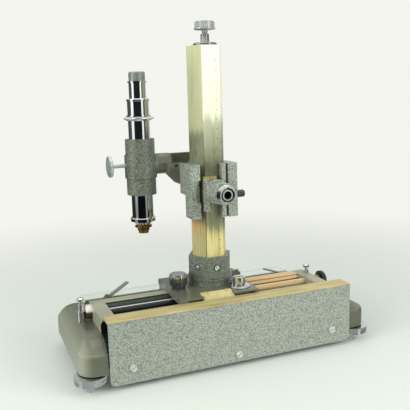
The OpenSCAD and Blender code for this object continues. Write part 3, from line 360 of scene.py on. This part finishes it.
def makeColumnBrass(name, look):
    # brushed brass with a tarnish that changes with height, a painted reflection high on the front face,
    # painted shade on the side faces, and a scale near its front face's right edge
    mat, tree, shader = newMaterial(name)
    x, y, z = splitOf(tree, objectCoords(tree))
    streaks = noiseOf(tree, objectCoords(tree, look["streaks"]), 1, detail=5, rough=0.6)
    patches = noiseOf(tree, objectCoords(tree, look["patches"]), 1, detail=3)
    wobble = timesOf(tree, mathOf(tree, "SUBTRACT", streaks, 0.5), look["wobble"])
    height = rangeOf(tree, mathOf(tree, "ADD", z, wobble), look["bottomZ"], look["topZ"])
    front = rampOf(tree, height, [(share, srgb(*colour)) for share, colour in look["front"]])
    side = rampOf(tree, height, [(share, srgb(*colour)) for share, colour in look["side"]])
    isFront = rangeOf(tree, x, look["edgeX"] - look["edgeBlend"], look["edgeX"] + look["edgeBlend"])
    # side faces darker than the front: tarnish and painted shade
    base = mixColour(tree, isFront, side, front)
    # dull film
    fromStreaks = timesOf(tree, streaks, look["filmStreaks"])
    fromPatches = timesOf(tree, patches, look["filmPatches"])
    film = rangeOf(tree, mathOf(tree, "ADD", fromStreaks, fromPatches), *look["filmSpread"])
    filmShare = rangeOf(tree, height, *look["filmHeights"], *look["filmShares"])
    onSides = timesOf(tree, mathOf(tree, "SUBTRACT", 1.0, isFront), look["filmOnSides"])
    filmShare = mathOf(tree, "MAXIMUM", filmShare, onSides)
    dark = mixColour(tree, 1.0, base, look["filmColour"], "MULTIPLY")
    base = mixColour(tree, timesOf(tree, film, filmShare), base, dark)
    # blotches round the slider
    blotch = noiseOf(tree, objectCoords(tree, look["blotches"]), 1, detail=5, rough=0.6)
    blotch = rangeOf(tree, blotch, *look["blotchSpread"])
    comesIn = rangeOf(tree, height, *look["blotchIn"])
    goesOut = rangeOf(tree, height, *look["blotchOut"], 1.0, 0.0)
    nearSlider = timesOf(tree, comesIn, goesOut)
    base = mixColour(tree, timesOf(tree, blotch, nearSlider, look["blotchShare"]), base, look["blotchColour"])
    # line down the edge
    line = nearOf(tree, x, look["edgeX"], look["lineHalf"])
    line = timesOf(tree, line, rangeOf(tree, height, *look["lineHeights"], look["lineShare"], 0.0))
    base = mixColour(tree, line, base, look["lineColour"])
    # ruled scale: a mark at the middle of every step, and faint fine lines right of the marks
    onFace = mathOf(tree, "LESS_THAN", y, look["faceY"])
    inMarks = timesOf(tree, mathOf(tree, "COMPARE", x, look["markX"], look["markReach"]), onFace,
                      mathOf(tree, "LESS_THAN", z, look["markTop"]))
    inFine = timesOf(tree, mathOf(tree, "GREATER_THAN", x, look["fineX"]), onFace)
    marks = timesOf(tree, ruledOf(tree, z, look["markStep"], look["markHalf"] / look["markStep"]), inMarks)
    fine = timesOf(tree, ruledOf(tree, z, look["markStep"] / look["finePerMark"], look["fineHalf"]), inFine,
                   look["fineShare"])
    ruled = timesOf(tree, mathOf(tree, "MAXIMUM", marks, fine), look["markShare"])
    tree.links.new(mixColour(tree, ruled, base, look["markColour"]), shader.inputs["Base Color"])
    shader.inputs["Metallic"].default_value = look["metal"]
    roughnessFrom(tree, shader, streaks, look["streakSpread"], *look["rough"])
    bumpOf(tree, shader, streaks, *look["bump"])
    return mat


columnBrass = makeColumnBrass("columnBrass", columnLook)


# turned brass, dull in its grain
turnedBrassLook = {
    "low": srgb(110, 90, 44), "high": srgb(176, 148, 84), "metal": 0.9, "rough": (0.25, 0.4),
    "grain": 120, "grainScale": (1, 1, 1), "toneSpread": (0.35, 0.68), "roughSpread": (0.3, 0.7),
    "bump": (0.1, 0.0003),
}
readerBrassLook = {
    **turnedBrassLook, "low": srgb(134, 124, 72), "high": srgb(176, 164, 106),
    "metal": 0.4, "rough": (0.3, 0.45),
}
# brass strips with fine lines ruled across them, one every step along X, between two places in Y
scaleBrassLook = {
    **turnedBrassLook, "low": srgb(164, 148, 96), "high": srgb(200, 187, 134),
    "metal": 0.3, "rough": (0.35, 0.5),
    "grain": 4, "grainScale": (6, 60, 60), "step": 0.001, "lineShare": 0.2, "linesY": (-0.0600, -0.0540),
    "strength": 0.35, "line": srgb(70, 60, 36),
}
vernierBrassLook = {
    **scaleBrassLook, "low": srgb(184, 174, 116), "high": srgb(206, 199, 146),
    "grainScale": (60, 6, 60), "step": 0.00098, "linesY": (-0.0550, -0.0505), "strength": 0.3,
}


def makeBrass(name, look):
    mat, tree, shader = newMaterial(name)
    grain = noiseOf(tree, objectCoords(tree, look["grainScale"]), look["grain"], detail=4, rough=0.6)
    brass = mixColour(tree, rangeOf(tree, grain, *look["toneSpread"]), look["low"], look["high"])
    if "step" in look:
        x, y, z = splitOf(tree, objectCoords(tree))
        fromLeft = mathOf(tree, "ADD", x, 1.0)   # 1 m along, so that it is above zero everywhere
        turn = mathOf(tree, "FRACT", mathOf(tree, "DIVIDE", fromLeft, look["step"]))
        line = mathOf(tree, "LESS_THAN", turn, look["lineShare"])
        inside = betweenOf(tree, y, *look["linesY"])
        brass = mixColour(tree, timesOf(tree, line, inside, look["strength"]), brass, look["line"])
    tree.links.new(brass, shader.inputs["Base Color"])
    shader.inputs["Metallic"].default_value = look["metal"]
    roughnessFrom(tree, shader, grain, look["roughSpread"], *look["rough"])
    bumpOf(tree, shader, grain, *look["bump"])
    return mat


turnedBrass = makeBrass("turnedBrass", turnedBrassLook)
readerBrass = makeBrass("readerBrass", readerBrassLook)
scaleBrass = makeBrass("scaleBrass", scaleBrassLook)
vernierBrass = makeBrass("vernierBrass", vernierBrassLook)


# plain paints, plastic and steels with a fine grain
plainLook = {
    "metal": 0.0, "coat": 0.0, "grain": 300, "grainSpread": (0.3, 0.7), "darker": 0.8,
    "roughSpan": (-0.05, 0.06), "bump": (0.1, 0.0003),
}


def makePlain(name, colour, rough, **changes):
    look = {**plainLook, **changes}
    mat, tree, shader = newMaterial(name)
    grain = noiseOf(tree, objectCoords(tree), look["grain"], detail=3)
    darker = tuple(c * look["darker"] for c in colour)
    tone = mixColour(tree, rangeOf(tree, grain, *look["grainSpread"]), darker, colour)
    tree.links.new(tone, shader.inputs["Base Color"])
    setInputs(shader, {"Metallic": look["metal"], "Coat Weight": look["coat"]})
    less, more = look["roughSpan"]
    roughnessFrom(tree, shader, grain, look["grainSpread"], rough + less, rough + more)
    bumpOf(tree, shader, grain, *look["bump"])
    return mat


darkPaint = makePlain("undersidePaint", srgb(58, 58, 54), 0.6)
blackPlastic = makePlain("blackPlastic", srgb(26, 26, 25), 0.22, coat=0.6)
capPaint = makePlain("capPaint", srgb(150, 156, 146), 0.3, metal=0.6)
knobPlate = makePlain("knobPlate", srgb(204, 210, 208), 0.26, metal=0.7, grain=120, bump=(0.0, 0.0003))
shankSteel = makePlain("shankSteel", srgb(96, 98, 94), 0.28, metal=0.9)
clipSteel = makePlain("clipSteel", srgb(124, 126, 110), 0.34, metal=0.5)
screwPlate = makePlain("screwPlate", srgb(214, 216, 212), 0.3, metal=0.45)


# glass with a faint haze in its tint
glassLook = {"haze": 60, "hazeSpread": (0.3, 0.7), "paler": 1.06}


def makeGlass(name, tint, bend, look):
    mat, tree, shader = newMaterial(name)
    haze = rangeOf(tree, noiseOf(tree, objectCoords(tree), look["haze"], detail=3), *look["hazeSpread"])
    paler = tuple(min(c * look["paler"], 1) for c in tint)
    tree.links.new(mixColour(tree, haze, tint, paler), shader.inputs["Base Color"])
    setInputs(shader, {"Transmission Weight": 1.0, "Roughness": 0.0, "IOR": bend})
    # rays from lamps go straight through, so what lies under the glass is lit
    path = addNode(tree, "ShaderNodeLightPath")
    clear = addNode(tree, "ShaderNodeBsdfTransparent")
    mix = addNode(tree, "ShaderNodeMixShader")
    out = next(node for node in tree.nodes if node.type == "OUTPUT_MATERIAL")
    tree.links.new(path.outputs["Is Shadow Ray"], mix.inputs["Fac"])
    tree.links.new(shader.outputs["BSDF"], mix.inputs[1])
    tree.links.new(clear.outputs["BSDF"], mix.inputs[2])
    tree.links.new(mix.outputs["Shader"], out.inputs["Surface"])
    return mat


stageGlass = makeGlass("stageGlass", srgb(246, 250, 247), 1.12, glassLook)
lensGlass = makeGlass("lensGlass", srgb(220, 228, 240), 1.45, glassLook)


# the reader's ring: plated rim, black inside, one thin bright step halfway in; distances are from its axis
readerRingLook = {
    "axis": (-0.0022, 0.1801),   # X and Z
    "rim": 0.0074, "step": (0.0042, 0.0056),
    "plate": srgb(240, 243, 238), "inside": srgb(16, 16, 18), "rough": (0.5, 0.08),
}


def makeReaderRing(name, look):
    mat, tree, shader = newMaterial(name)
    axisX, axisZ = look["axis"]
    x, y, z = splitOf(tree, objectCoords(tree, move=(-axisX, 0, -axisZ)))
    out = mathOf(tree, "SQRT", mathOf(tree, "ADD", timesOf(tree, x, x), timesOf(tree, z, z)))
    rim = mathOf(tree, "GREATER_THAN", out, look["rim"])
    bright = mathOf(tree, "MAXIMUM", rim, betweenOf(tree, out, *look["step"]))
    tree.links.new(mixColour(tree, bright, look["inside"], look["plate"]), shader.inputs["Base Color"])
    tree.links.new(bright, shader.inputs["Metallic"])
    roughnessFrom(tree, shader, bright, (0, 1), *look["rough"])
    return mat


readerPlate = makeReaderRing("readerPlate", readerRingLook)


# bars of the bed: one colour left of the carriage and one right of it, painted reflections of dark surroundings
# on the left and of the brass column on the right, with painted shade below a height
rearRailLook = {
    "splitX": 0.0, "spread": 0.02, "left": srgb(146, 147, 122), "right": srgb(204, 174, 126),
    "shadeZ": 0.0675, "shadeLeft": srgb(50, 60, 49), "shadeRight": srgb(150, 124, 88),
    "metal": 0.0, "rough": 0.4,
    "grain": (12, 160, 160), "grainSpread": (0.3, 0.7), "grainShares": (0.82, 1.06),
}
guideRodLook = {
    **rearRailLook, "left": srgb(40, 48, 40), "right": srgb(190, 160, 114),
    "shadeZ": 0.0640, "shadeLeft": srgb(30, 36, 30), "shadeRight": srgb(84, 68, 50), "rough": 0.5,
    # end of the rod, left of endX: painted highlight on its top, painted shade below
    "endX": -0.1352, "end": srgb(212, 210, 200), "endShade": srgb(66, 56, 40),
    "endZ": 0.0618, "endBlend": 0.001,   # height where its painted shade starts
}
# lead screw: a painted highlight along its top, painted shade below shadeZ, and a tan painted reflection right
# of the carriage
leadScrewLook = {
    **rearRailLook, "left": srgb(204, 208, 212), "right": srgb(216, 192, 146),
    "shadeZ": 0.0662, "shadeLeft": srgb(34, 36, 34), "shadeRight": srgb(186, 160, 116),
    "metal": 0.35, "rough": 0.22,
}


def makeBarSteel(name, look):
    mat, tree, shader = newMaterial(name)
    x, y, z = splitOf(tree, objectCoords(tree))
    grain = noiseOf(tree, objectCoords(tree, look["grain"]), 1, detail=4)
    grain = rangeOf(tree, grain, *look["grainSpread"], *look["grainShares"])
    # painted reflections left and right of the carriage, and painted shade below shadeZ
    across = rangeOf(tree, x, look["splitX"] - look["spread"], look["splitX"] + look["spread"])
    colour = mixColour(tree, across, look["left"], look["right"])
    shade = mixColour(tree, across, look["shadeLeft"], look["shadeRight"])
    colour = mixColour(tree, mathOf(tree, "LESS_THAN", z, look["shadeZ"]), colour, shade)
    if "endX" in look:
        up = rangeOf(tree, z, look["endZ"] - look["endBlend"], look["endZ"] + look["endBlend"])
        end = mixColour(tree, up, look["endShade"], look["end"])
        colour = mixColour(tree, mathOf(tree, "LESS_THAN", x, look["endX"]), colour, end)
    grey = addNode(tree, "ShaderNodeCombineColor")
    for channel in ("Red", "Green", "Blue"):
        tree.links.new(grain, grey.inputs[channel])
    tree.links.new(mixColour(tree, 1.0, colour, grey.outputs["Color"], "MULTIPLY"), shader.inputs["Base Color"])
    setInputs(shader, {"Metallic": look["metal"], "Roughness": look["rough"]})
    return mat


rearRailSteel = makeBarSteel("rearRailSteel", rearRailLook)
guideRodSteel = makeBarSteel("guideRodSteel", guideRodLook)
leadScrewSteel = makeBarSteel("leadScrewSteel", leadScrewLook)
print("finishes made")

finishOf = {
    "base_casting": castingPaint, "base_plate": darkPaint, "base_plate_screws": dullChrome,
    "bed_left_end": bedPaint, "bed_right_end": bedPaint, "bed_front_rail": bedPaint,
    "bed_rear_rail": rearRailSteel, "guide_rod": guideRodSteel,
    "rod_post_left": chrome, "rod_post_right": chrome, "thumb_screw_left": chrome, "thumb_screw_right": chrome,
    "front_cover": coverPaint, "cover_screws": screwPlate, "horizontal_scale": scaleBrass,
    "screw_bearing": turnedBrass, "lead_screw": leadScrewSteel, "handwheel": blackPlastic,
    "stage_glass": stageGlass, "clip_screws": chrome, "clip_left": clipSteel, "clip_right": clipSteel,
    "carriage_plate": smoothPaint, "carriage_rear_block": smoothPaint, "carriage_nut": turnedBrass,
    "horizontal_vernier": vernierBrass, "vernier_screws": vernierBrass, "stop_lug": smoothPaint,
    "left_clamp_knob": knurledPlate, "right_clamp_knob": chrome, "knob_collar": chrome,
    "column_socket": holderPaint, "socket_screws": chrome, "column": columnBrass, "column_cap": dullChrome,
    "vertical_screw": dullChrome, "top_knob": knobPlate, "vertical_carriage": hammeredPaint,
    "slider_nut": turnedBrass, "vertical_vernier": readerBrass, "reader_strap": hammeredPaint,
    "reader_tube": hammeredPaint, "reader_lens": lensGlass, "reader_ring": readerPlate,
    "slider_clamp_screw": shankSteel, "arm_bracket": smoothPaint,
    "microscope_holder": holderPaint, "tube_clamp_knob": knobPlate,
    "body_tube": chrome, "tube_flange": chrome, "eyepiece_adapter": chrome, "nosepiece": chrome,
    "objective": turnedBrass, "objective_lens": lensGlass, "draw_tube": chrome, "eyepiece_cap": capPaint,
    "eyepiece_lenses": lensGlass, "foot_left": chrome, "foot_right": chrome, "foot_rear": chrome,
}
for nodeName, finish in finishOf.items():
    mesh = nodes[nodeName].data
    mesh.materials.clear()
    mesh.materials.append(finish)


# a finished piece that stands for one CAD node; edges sharper than an angle in degrees stay crisp
def showMesh(name, mesh, node, sharp):
    mesh.materials.clear()
    mesh.materials.append(finishOf[node])
    mesh.shade_smooth()
    mesh.set_sharp_from_angle(angle=math.radians(sharp))
    piece = bpy.data.objects.new(name, mesh)
    bpy.context.scene.collection.objects.link(piece)
    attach(piece, bodyOf[node])
    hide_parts(node)
    return piece


# copies of CAD nodes with their edges broken by a small bevel
softCopyLook = {
    "merge": 1e-6, "flat": 0.6, "sharp": 32, "angle": 35, "segments": 2,   # merge in metres, angles in degrees
    # width of each node's bevel, metres
    "widths": {
        "bed_left_end": 0.0006, "bed_right_end": 0.0006, "bed_rear_rail": 0.0004, "bed_front_rail": 0.0004,
        "carriage_plate": 0.0007, "carriage_rear_block": 0.0006, "stop_lug": 0.0006,
        "front_cover": 0.0008, "horizontal_scale": 0.00025, "horizontal_vernier": 0.0003,
        "column_socket": 0.0009, "column": 0.0005, "vertical_carriage": 0.0009, "reader_strap": 0.0008,
        "reader_tube": 0.0008, "arm_bracket": 0.0008, "microscope_holder": 0.0007,
        "cover_screws": 0.0003, "socket_screws": 0.0003, "knob_collar": 0.0003,
        "column_cap": 0.0004, "eyepiece_cap": 0.0004,
    },
}


def softCopy(node, width, look):
    # the CAD faces that lie flat together become one face, so only the real edges get the bevel
    mesh = nodes[node].data.copy()
    work = bmesh.new()
    work.from_mesh(mesh)
    bmesh.ops.remove_doubles(work, verts=work.verts, dist=look["merge"])
    bmesh.ops.dissolve_limit(work, angle_limit=math.radians(look["flat"]), verts=work.verts, edges=work.edges)
    work.to_mesh(mesh)
    work.free()
    piece = showMesh(node + "_soft", mesh, node, look["sharp"])
    bevel = piece.modifiers.new("edges", "BEVEL")
    bevel.width = width
    bevel.segments = look["segments"]
    bevel.limit_method = "ANGLE"
    bevel.angle_limit = math.radians(look["angle"])
    bevel.use_clamp_overlap = True
    bevel.harden_normals = True


for nodeName, width in softCopyLook["widths"].items():
    softCopy(nodeName, width, softCopyLook)
print("soft copies made")


# the base casting: pocket, rounded bottom edge, upright wall, rounded rim and crowned top; metres
castingLook = {
    "low": (-0.1619, -0.07225), "high": (0.1644, 0.07575),   # outline in X and Y
    "inset": (0.014, 0.02225, 0.038, 0.022),   # left, front, right and back, from the outline to the deck
    "corner": (0.017, 0.007), "cornerLeast": 0.002,   # radius at the outline and at the deck, and the least
    "cornerLoss": 0.6,   # how much of the distance that a ring is set further in comes off its radius
    "bottomZ": 0.0175, "rimZ": 0.0386, "deckZ": 0.0510, "edge": 0.0055,
    "pocketIn": 0.014, "pocketZ": 0.0215, "pocketEdge": 0.0006,
    # bottom edge from the underside out to the wall: how far in, how far up
    "bottomEdge": [(0.0012, 0.0), (0.0003, 0.0004), (0.0, 0.0015)],
    "rimShare": 0.09, "crownPower": 2.1,
    "around": 240, "wallRings": 5, "rimRings": 8, "crownRings": 23,
    # ear for the cover's middle screw
    "lugX": (-0.00465, 0.00935), "lugY": (-0.07225, -0.06525), "lugZ": (0.0075, 0.0300),
}


def roundedRing(low, high, radius, count):
    # points of a rectangle with rounded corners, as many on each corner's arc as on each side:
    # an arc is its centre + radius * (cos, sin) of the turn, and a side runs straight to the next arc
    perPart = count // 8
    arc = np.linspace(0, np.pi / 2, perPart, endpoint=False)
    points = []
    centres = [(high[0] - radius, high[1] - radius), (low[0] + radius, high[1] - radius),
               (low[0] + radius, low[1] + radius), (high[0] - radius, low[1] + radius)]
    for k, centre in enumerate(centres):
        turn = arc + k * np.pi / 2
        bend = np.stack([centre[0] + radius * np.cos(turn), centre[1] + radius * np.sin(turn)], 1)
        after = centres[(k + 1) % 4]
        endTurn = (k + 1) * np.pi / 2
        start = np.array([centre[0] + radius * np.cos(endTurn), centre[1] + radius * np.sin(endTurn)])
        stop = np.array([after[0] + radius * np.cos(endTurn), after[1] + radius * np.sin(endTurn)])
        side = start + (stop - start) * np.linspace(0, 1, perPart, endpoint=False)[:, None]
        points += [bend, side]
    return np.vstack(points)


def loftMesh(name, shells):
    # each shell is a list of rings of equal count: walls between its rings, and one flat face at each end
    verts, faces, first = [], [], 0
    for rings in shells:
        count = len(rings[0])
        index = np.arange(count)
        after = (index + 1) % count
        for k in range(len(rings) - 1):
            low, high = first + k * count, first + (k + 1) * count
            faces += np.stack([low + index, low + after, high + after, high + index], 1).tolist()
        faces.append((first + index[::-1]).tolist())
        faces.append((first + (len(rings) - 1) * count + index).tolist())
        verts += rings
        first += len(rings) * count
    mesh = bpy.data.meshes.new(name)
    mesh.from_pydata(np.vstack(verts).tolist(), [], faces)
    return mesh


def makeCasting(look):
    # rings of the outline from the pocket to the deck; a ring's share is how far it has come from the
    # outline to the deck's edge. The rim is a quarter of an ellipse, and the crown starts where it ends:
    # with s from 0 there to 1 at the deck, its height is rim + (deck - rim) * (1 - (1 - s)^crownPower)
    low, high = np.array(look["low"]), np.array(look["high"])
    left, front, right, back = look["inset"]
    cornerOut, cornerDeck = look["corner"]
    bottomZ, rimZ, deckZ, rimShare = look["bottomZ"], look["rimZ"], look["deckZ"], look["rimShare"]
    rings = []

    def addRing(share, z, extra=0.0):
        ringLow = low + np.array([left, front]) * share + extra
        ringHigh = high - np.array([right, back]) * share - extra
        radius = cornerOut * (1 - share) + cornerDeck * share - extra * look["cornerLoss"]
        flat = roundedRing(ringLow, ringHigh, max(radius, look["cornerLeast"]), look["around"])
        rings.append(np.column_stack([flat, np.full(len(flat), z)]))

    addRing(0, look["pocketZ"], look["pocketIn"])
    addRing(0, bottomZ + look["pocketEdge"], look["pocketIn"])
    addRing(0, bottomZ, look["pocketIn"] - look["pocketEdge"])
    for inward, up in look["bottomEdge"]:
        addRing(0, bottomZ + up, inward)
    wallZ = bottomZ + look["bottomEdge"][-1][1]
    for step in np.linspace(0, 1, look["wallRings"]):
        addRing(0, wallZ + (rimZ - look["edge"] - wallZ) * step)
    for turn in np.linspace(0, np.pi / 2, look["rimRings"] + 1)[1:]:
        addRing(rimShare * (1 - np.cos(turn)), rimZ - look["edge"] * (1 - np.sin(turn)))
    for share in np.linspace(rimShare, 1, look["crownRings"] + 1)[1:]:
        rise = (share - rimShare) / (1 - rimShare)
        addRing(share, rimZ + (deckZ - rimZ) * (1 - (1 - rise) ** look["crownPower"]))
    lug = [np.array([(look["lugX"][i], look["lugY"][j], z) for i, j in ((1, 0), (1, 1), (0, 1), (0, 0))])
           for z in look["lugZ"]]
    showMesh("casting_crowned", loftMesh("casting", [rings, lug]), "base_casting", sharp=50)


makeCasting(castingLook)
print("casting made")


# camera: the photograph's viewing angle and place
cameraLook = {
    "place": (-0.24995, -0.61885, 0.2799),
    "turn": 21.837, "down": 10.164, "roll": -1.583,   # degrees
    "lens": 53.73, "sensor": 36, "nearest": 0.01,
}


def makeCamera(look):
    turn, down, roll = (math.radians(look[key]) for key in ("turn", "down", "roll"))
    ahead = Vector((math.sin(turn) * math.cos(down), math.cos(turn) * math.cos(down), -math.sin(down)))
    right = Vector((math.cos(turn), -math.sin(turn), 0))
    up = right.cross(ahead)
    rolledRight = right * math.cos(roll) + up * math.sin(roll)
    rolledUp = up * math.cos(roll) - right * math.sin(roll)
    data = bpy.data.cameras.new("camera")
    data.lens = look["lens"]
    data.sensor_width = look["sensor"]
    data.clip_start = look["nearest"]
    camera = bpy.data.objects.new("camera", data)
    bpy.context.scene.collection.objects.link(camera)
    rotation = Matrix((rolledRight, rolledUp, -ahead)).transposed()
    camera.matrix_world = Matrix.Translation(look["place"]) @ rotation.to_4x4()
    bpy.context.scene.camera = camera


makeCamera(cameraLook)


# floor card: it turns see-through with distance, so the backdrop takes over without a horizon
floorLook = {
    "colour": srgb(196, 203, 195), "rough": 0.9, "specular": 0.1, "half": 6.0,
    "fadeNear": 0.17, "fadeFar": 0.88,   # metres from the middle
}


def makeFloor(look):
    mat, tree, shader = newMaterial("floorCard")
    setInputs(shader, {"Base Color": (*look["colour"], 1), "Roughness": look["rough"],
                       "Specular IOR Level": look["specular"]})
    length = addNode(tree, "ShaderNodeVectorMath", operation="LENGTH")
    tree.links.new(objectCoords(tree), length.inputs[0])
    solid = rangeOf(tree, length.outputs["Value"], look["fadeNear"], look["fadeFar"], 1.0, 0.0, "SMOOTHSTEP")
    tree.links.new(solid, shader.inputs["Alpha"])
    half = look["half"]
    mesh = bpy.data.meshes.new("floor")
    corners = [(-half, -half, 0), (half, -half, 0), (half, half, 0), (-half, half, 0)]
    mesh.from_pydata(corners, [], [(0, 1, 2, 3)])
    mesh.materials.append(mat)
    floor = bpy.data.objects.new("floor", mesh)
    bpy.context.scene.collection.objects.link(floor)
    floor.visible_glossy = False


makeFloor(floorLook)


# backdrop that is seen and mirrored, and a softer even light for all other rays
worldLook = {"back": srgb(244, 245, 238), "backStrength": 1.0, "fill": (1, 1, 0.98), "fillStrength": 0.55}


def makeWorld(look):
    world = bpy.data.worlds.new("studio")
    bpy.context.scene.world = world
    world.use_nodes = True
    tree = world.node_tree
    tree.nodes.clear()
    out = addNode(tree, "ShaderNodeOutputWorld")
    seen = addNode(tree, "ShaderNodeBackground")
    setInputs(seen, {"Color": (*look["back"], 1), "Strength": look["backStrength"]})
    fill = addNode(tree, "ShaderNodeBackground")
    setInputs(fill, {"Color": (*look["fill"], 1), "Strength": look["fillStrength"]})
    path = addNode(tree, "ShaderNodeLightPath")
    seenRays = mathOf(tree, "MAXIMUM", path.outputs["Is Camera Ray"], path.outputs["Is Transmission Ray"])
    seenRays = mathOf(tree, "MAXIMUM", seenRays, path.outputs["Is Glossy Ray"])
    mix = addNode(tree, "ShaderNodeMixShader")
    tree.links.new(seenRays, mix.inputs["Fac"])
    tree.links.new(fill.outputs["Background"], mix.inputs[1])
    tree.links.new(seen.outputs["Background"], mix.inputs[2])
    tree.links.new(mix.outputs["Shader"], out.inputs["Surface"])


makeWorld(worldLook)


# bright metal mirrors this drum: dark round the camera, a white panel to each side of it, grey behind,
# white above and below
drumLook = {
    "radius": 1.6, "lowZ": -1.6, "highZ": 2.2, "around": 144,
    "cameraSide": math.atan2(-0.619, -0.25),
    # half turns from the camera, then brightness
    "stops": [
        (-1.0, 0.05), (-0.44, 0.05), (-0.41, 0.72), (-0.28, 0.72), (-0.25, 0.009),
        (0.205, 0.009), (0.225, 0.72), (0.30, 0.72), (0.34, 0.04), (0.47, 0.05),
        (0.53, 0.07), (0.64, 0.07), (0.78, 0.34), (1.0, 0.34),
    ],
    # colour cast of the panels, and the cooler one of whatever is darker than darkBelow
    "cast": (0.97, 1.0, 0.94), "darkCast": (0.80, 0.95, 1.25), "darkBelow": 0.02, "gain": 2.0,
    # share of the gain at each height
    "heights": [(-0.60, 0.75), (-0.36, 0.75), (-0.30, 0.22), (-0.12, 0.22), (0.14, 0.85), (0.30, 1.0)],
    "heightMost": 1.0,   # metres up and down that those heights may reach
    # brightness above the drum's bands and below them, and the heights where each takes over
    "above": 0.85, "aboveZ": (0.45, 0.80), "below": 0.50, "belowZ": (-0.80, -0.35),
}


def makeDrumGlow(look):
    mat = bpy.data.materials.new("panelDrum")
    mat.use_nodes = True
    tree = mat.node_tree
    tree.nodes.clear()
    out = addNode(tree, "ShaderNodeOutputMaterial")
    glow = addNode(tree, "ShaderNodeEmission")
    x, y, z = splitOf(tree, objectCoords(tree))
    away = mathOf(tree, "SUBTRACT", mathOf(tree, "ARCTAN2", y, x), look["cameraSide"])
    side = mathOf(tree, "ARCTAN2", mathOf(tree, "SINE", away), mathOf(tree, "COSINE", away))
    stops = []
    for turn, level in look["stops"]:
        cast = look["darkCast"] if level < look["darkBelow"] else look["cast"]
        stops.append(((turn + 1) / 2, tuple(level * c for c in cast)))
    bands = rampOf(tree, rangeOf(tree, side, -math.pi, math.pi), stops)
    most = look["heightMost"]
    shares = rampOf(tree, rangeOf(tree, z, -most, most),
                    [((height + most) / (2 * most), (share,) * 3) for height, share in look["heights"]])
    scaled = addNode(tree, "ShaderNodeVectorMath", operation="SCALE")
    tree.links.new(bands, scaled.inputs[0])
    tree.links.new(timesOf(tree, shares, look["gain"]), scaled.inputs["Scale"])
    overhead = rangeOf(tree, z, *look["aboveZ"])
    under = rangeOf(tree, z, *look["belowZ"], 1.0, 0.0)
    bands = mixColour(tree, overhead, scaled.outputs["Vector"], tuple(look["above"] * c for c in look["cast"]))
    bands = mixColour(tree, under, bands, tuple(look["below"] * c for c in look["cast"]))
    tree.links.new(bands, glow.inputs["Color"])
    tree.links.new(glow.outputs["Emission"], out.inputs["Surface"])
    return mat


def makeDrum(look):
    # two rings of points, (cos, sin) of each turn * radius at the low and the high Z, joined by upright faces
    turns = np.linspace(0, 2 * np.pi, look["around"], endpoint=False)
    ring = np.stack([np.cos(turns), np.sin(turns)], 1) * look["radius"]
    low = np.column_stack([ring, np.full(len(ring), look["lowZ"])])
    high = np.column_stack([ring, np.full(len(ring), look["highZ"])])
    index = np.arange(len(ring))
    after = (index + 1) % len(ring)
    faces = np.stack([index, after, after + len(ring), index + len(ring)], 1)
    mesh = bpy.data.meshes.new("panelDrum")
    mesh.from_pydata(np.vstack([low, high]).tolist(), [], faces.tolist())
    mesh.materials.append(makeDrumGlow(look))
    drum = bpy.data.objects.new("panelDrum", mesh)
    bpy.context.scene.collection.objects.link(drum)
    drum.visible_camera = False
    drum.visible_diffuse = False
    drum.visible_shadow = False
    drum.visible_transmission = False


makeDrum(drumLook)


# lamps: side in metres, power in watts; only the top one is mirrored, the drum's panels do the rest
lampLook = {
    "keyRight": {
        "place": (0.70, -0.85, 0.50), "target": (0, 0, 0.12), "side": 0.8, "power": 12.0, "mirrored": False},
    "fillLeft": {
        "place": (-1.2, -0.40, 0.60), "target": (0, 0, 0.12), "side": 1.0, "power": 21, "mirrored": False},
    "top": {
        "place": (0.0, 0.1, 1.5), "target": (0, 0, 0), "side": 1.2, "power": 5.5, "mirrored": True},
}


def makeLamp(name, look):
    data = bpy.data.lights.new(name, "AREA")
    data.shape = "SQUARE"
    data.size = look["side"]
    data.energy = look["power"]
    lamp = bpy.data.objects.new(name, data)
    bpy.context.scene.collection.objects.link(lamp)
    lamp.location = look["place"]
    aim = Vector(look["target"]) - Vector(look["place"])
    lamp.rotation_euler = aim.to_track_quat("-Z", "Y").to_euler()
    lamp.visible_camera = False
    lamp.visible_glossy = look["mirrored"]


for lampName, look in lampLook.items():
    makeLamp(lampName, look)
print("studio made")

bpy.context.scene.view_settings.view_transform = "Standard"
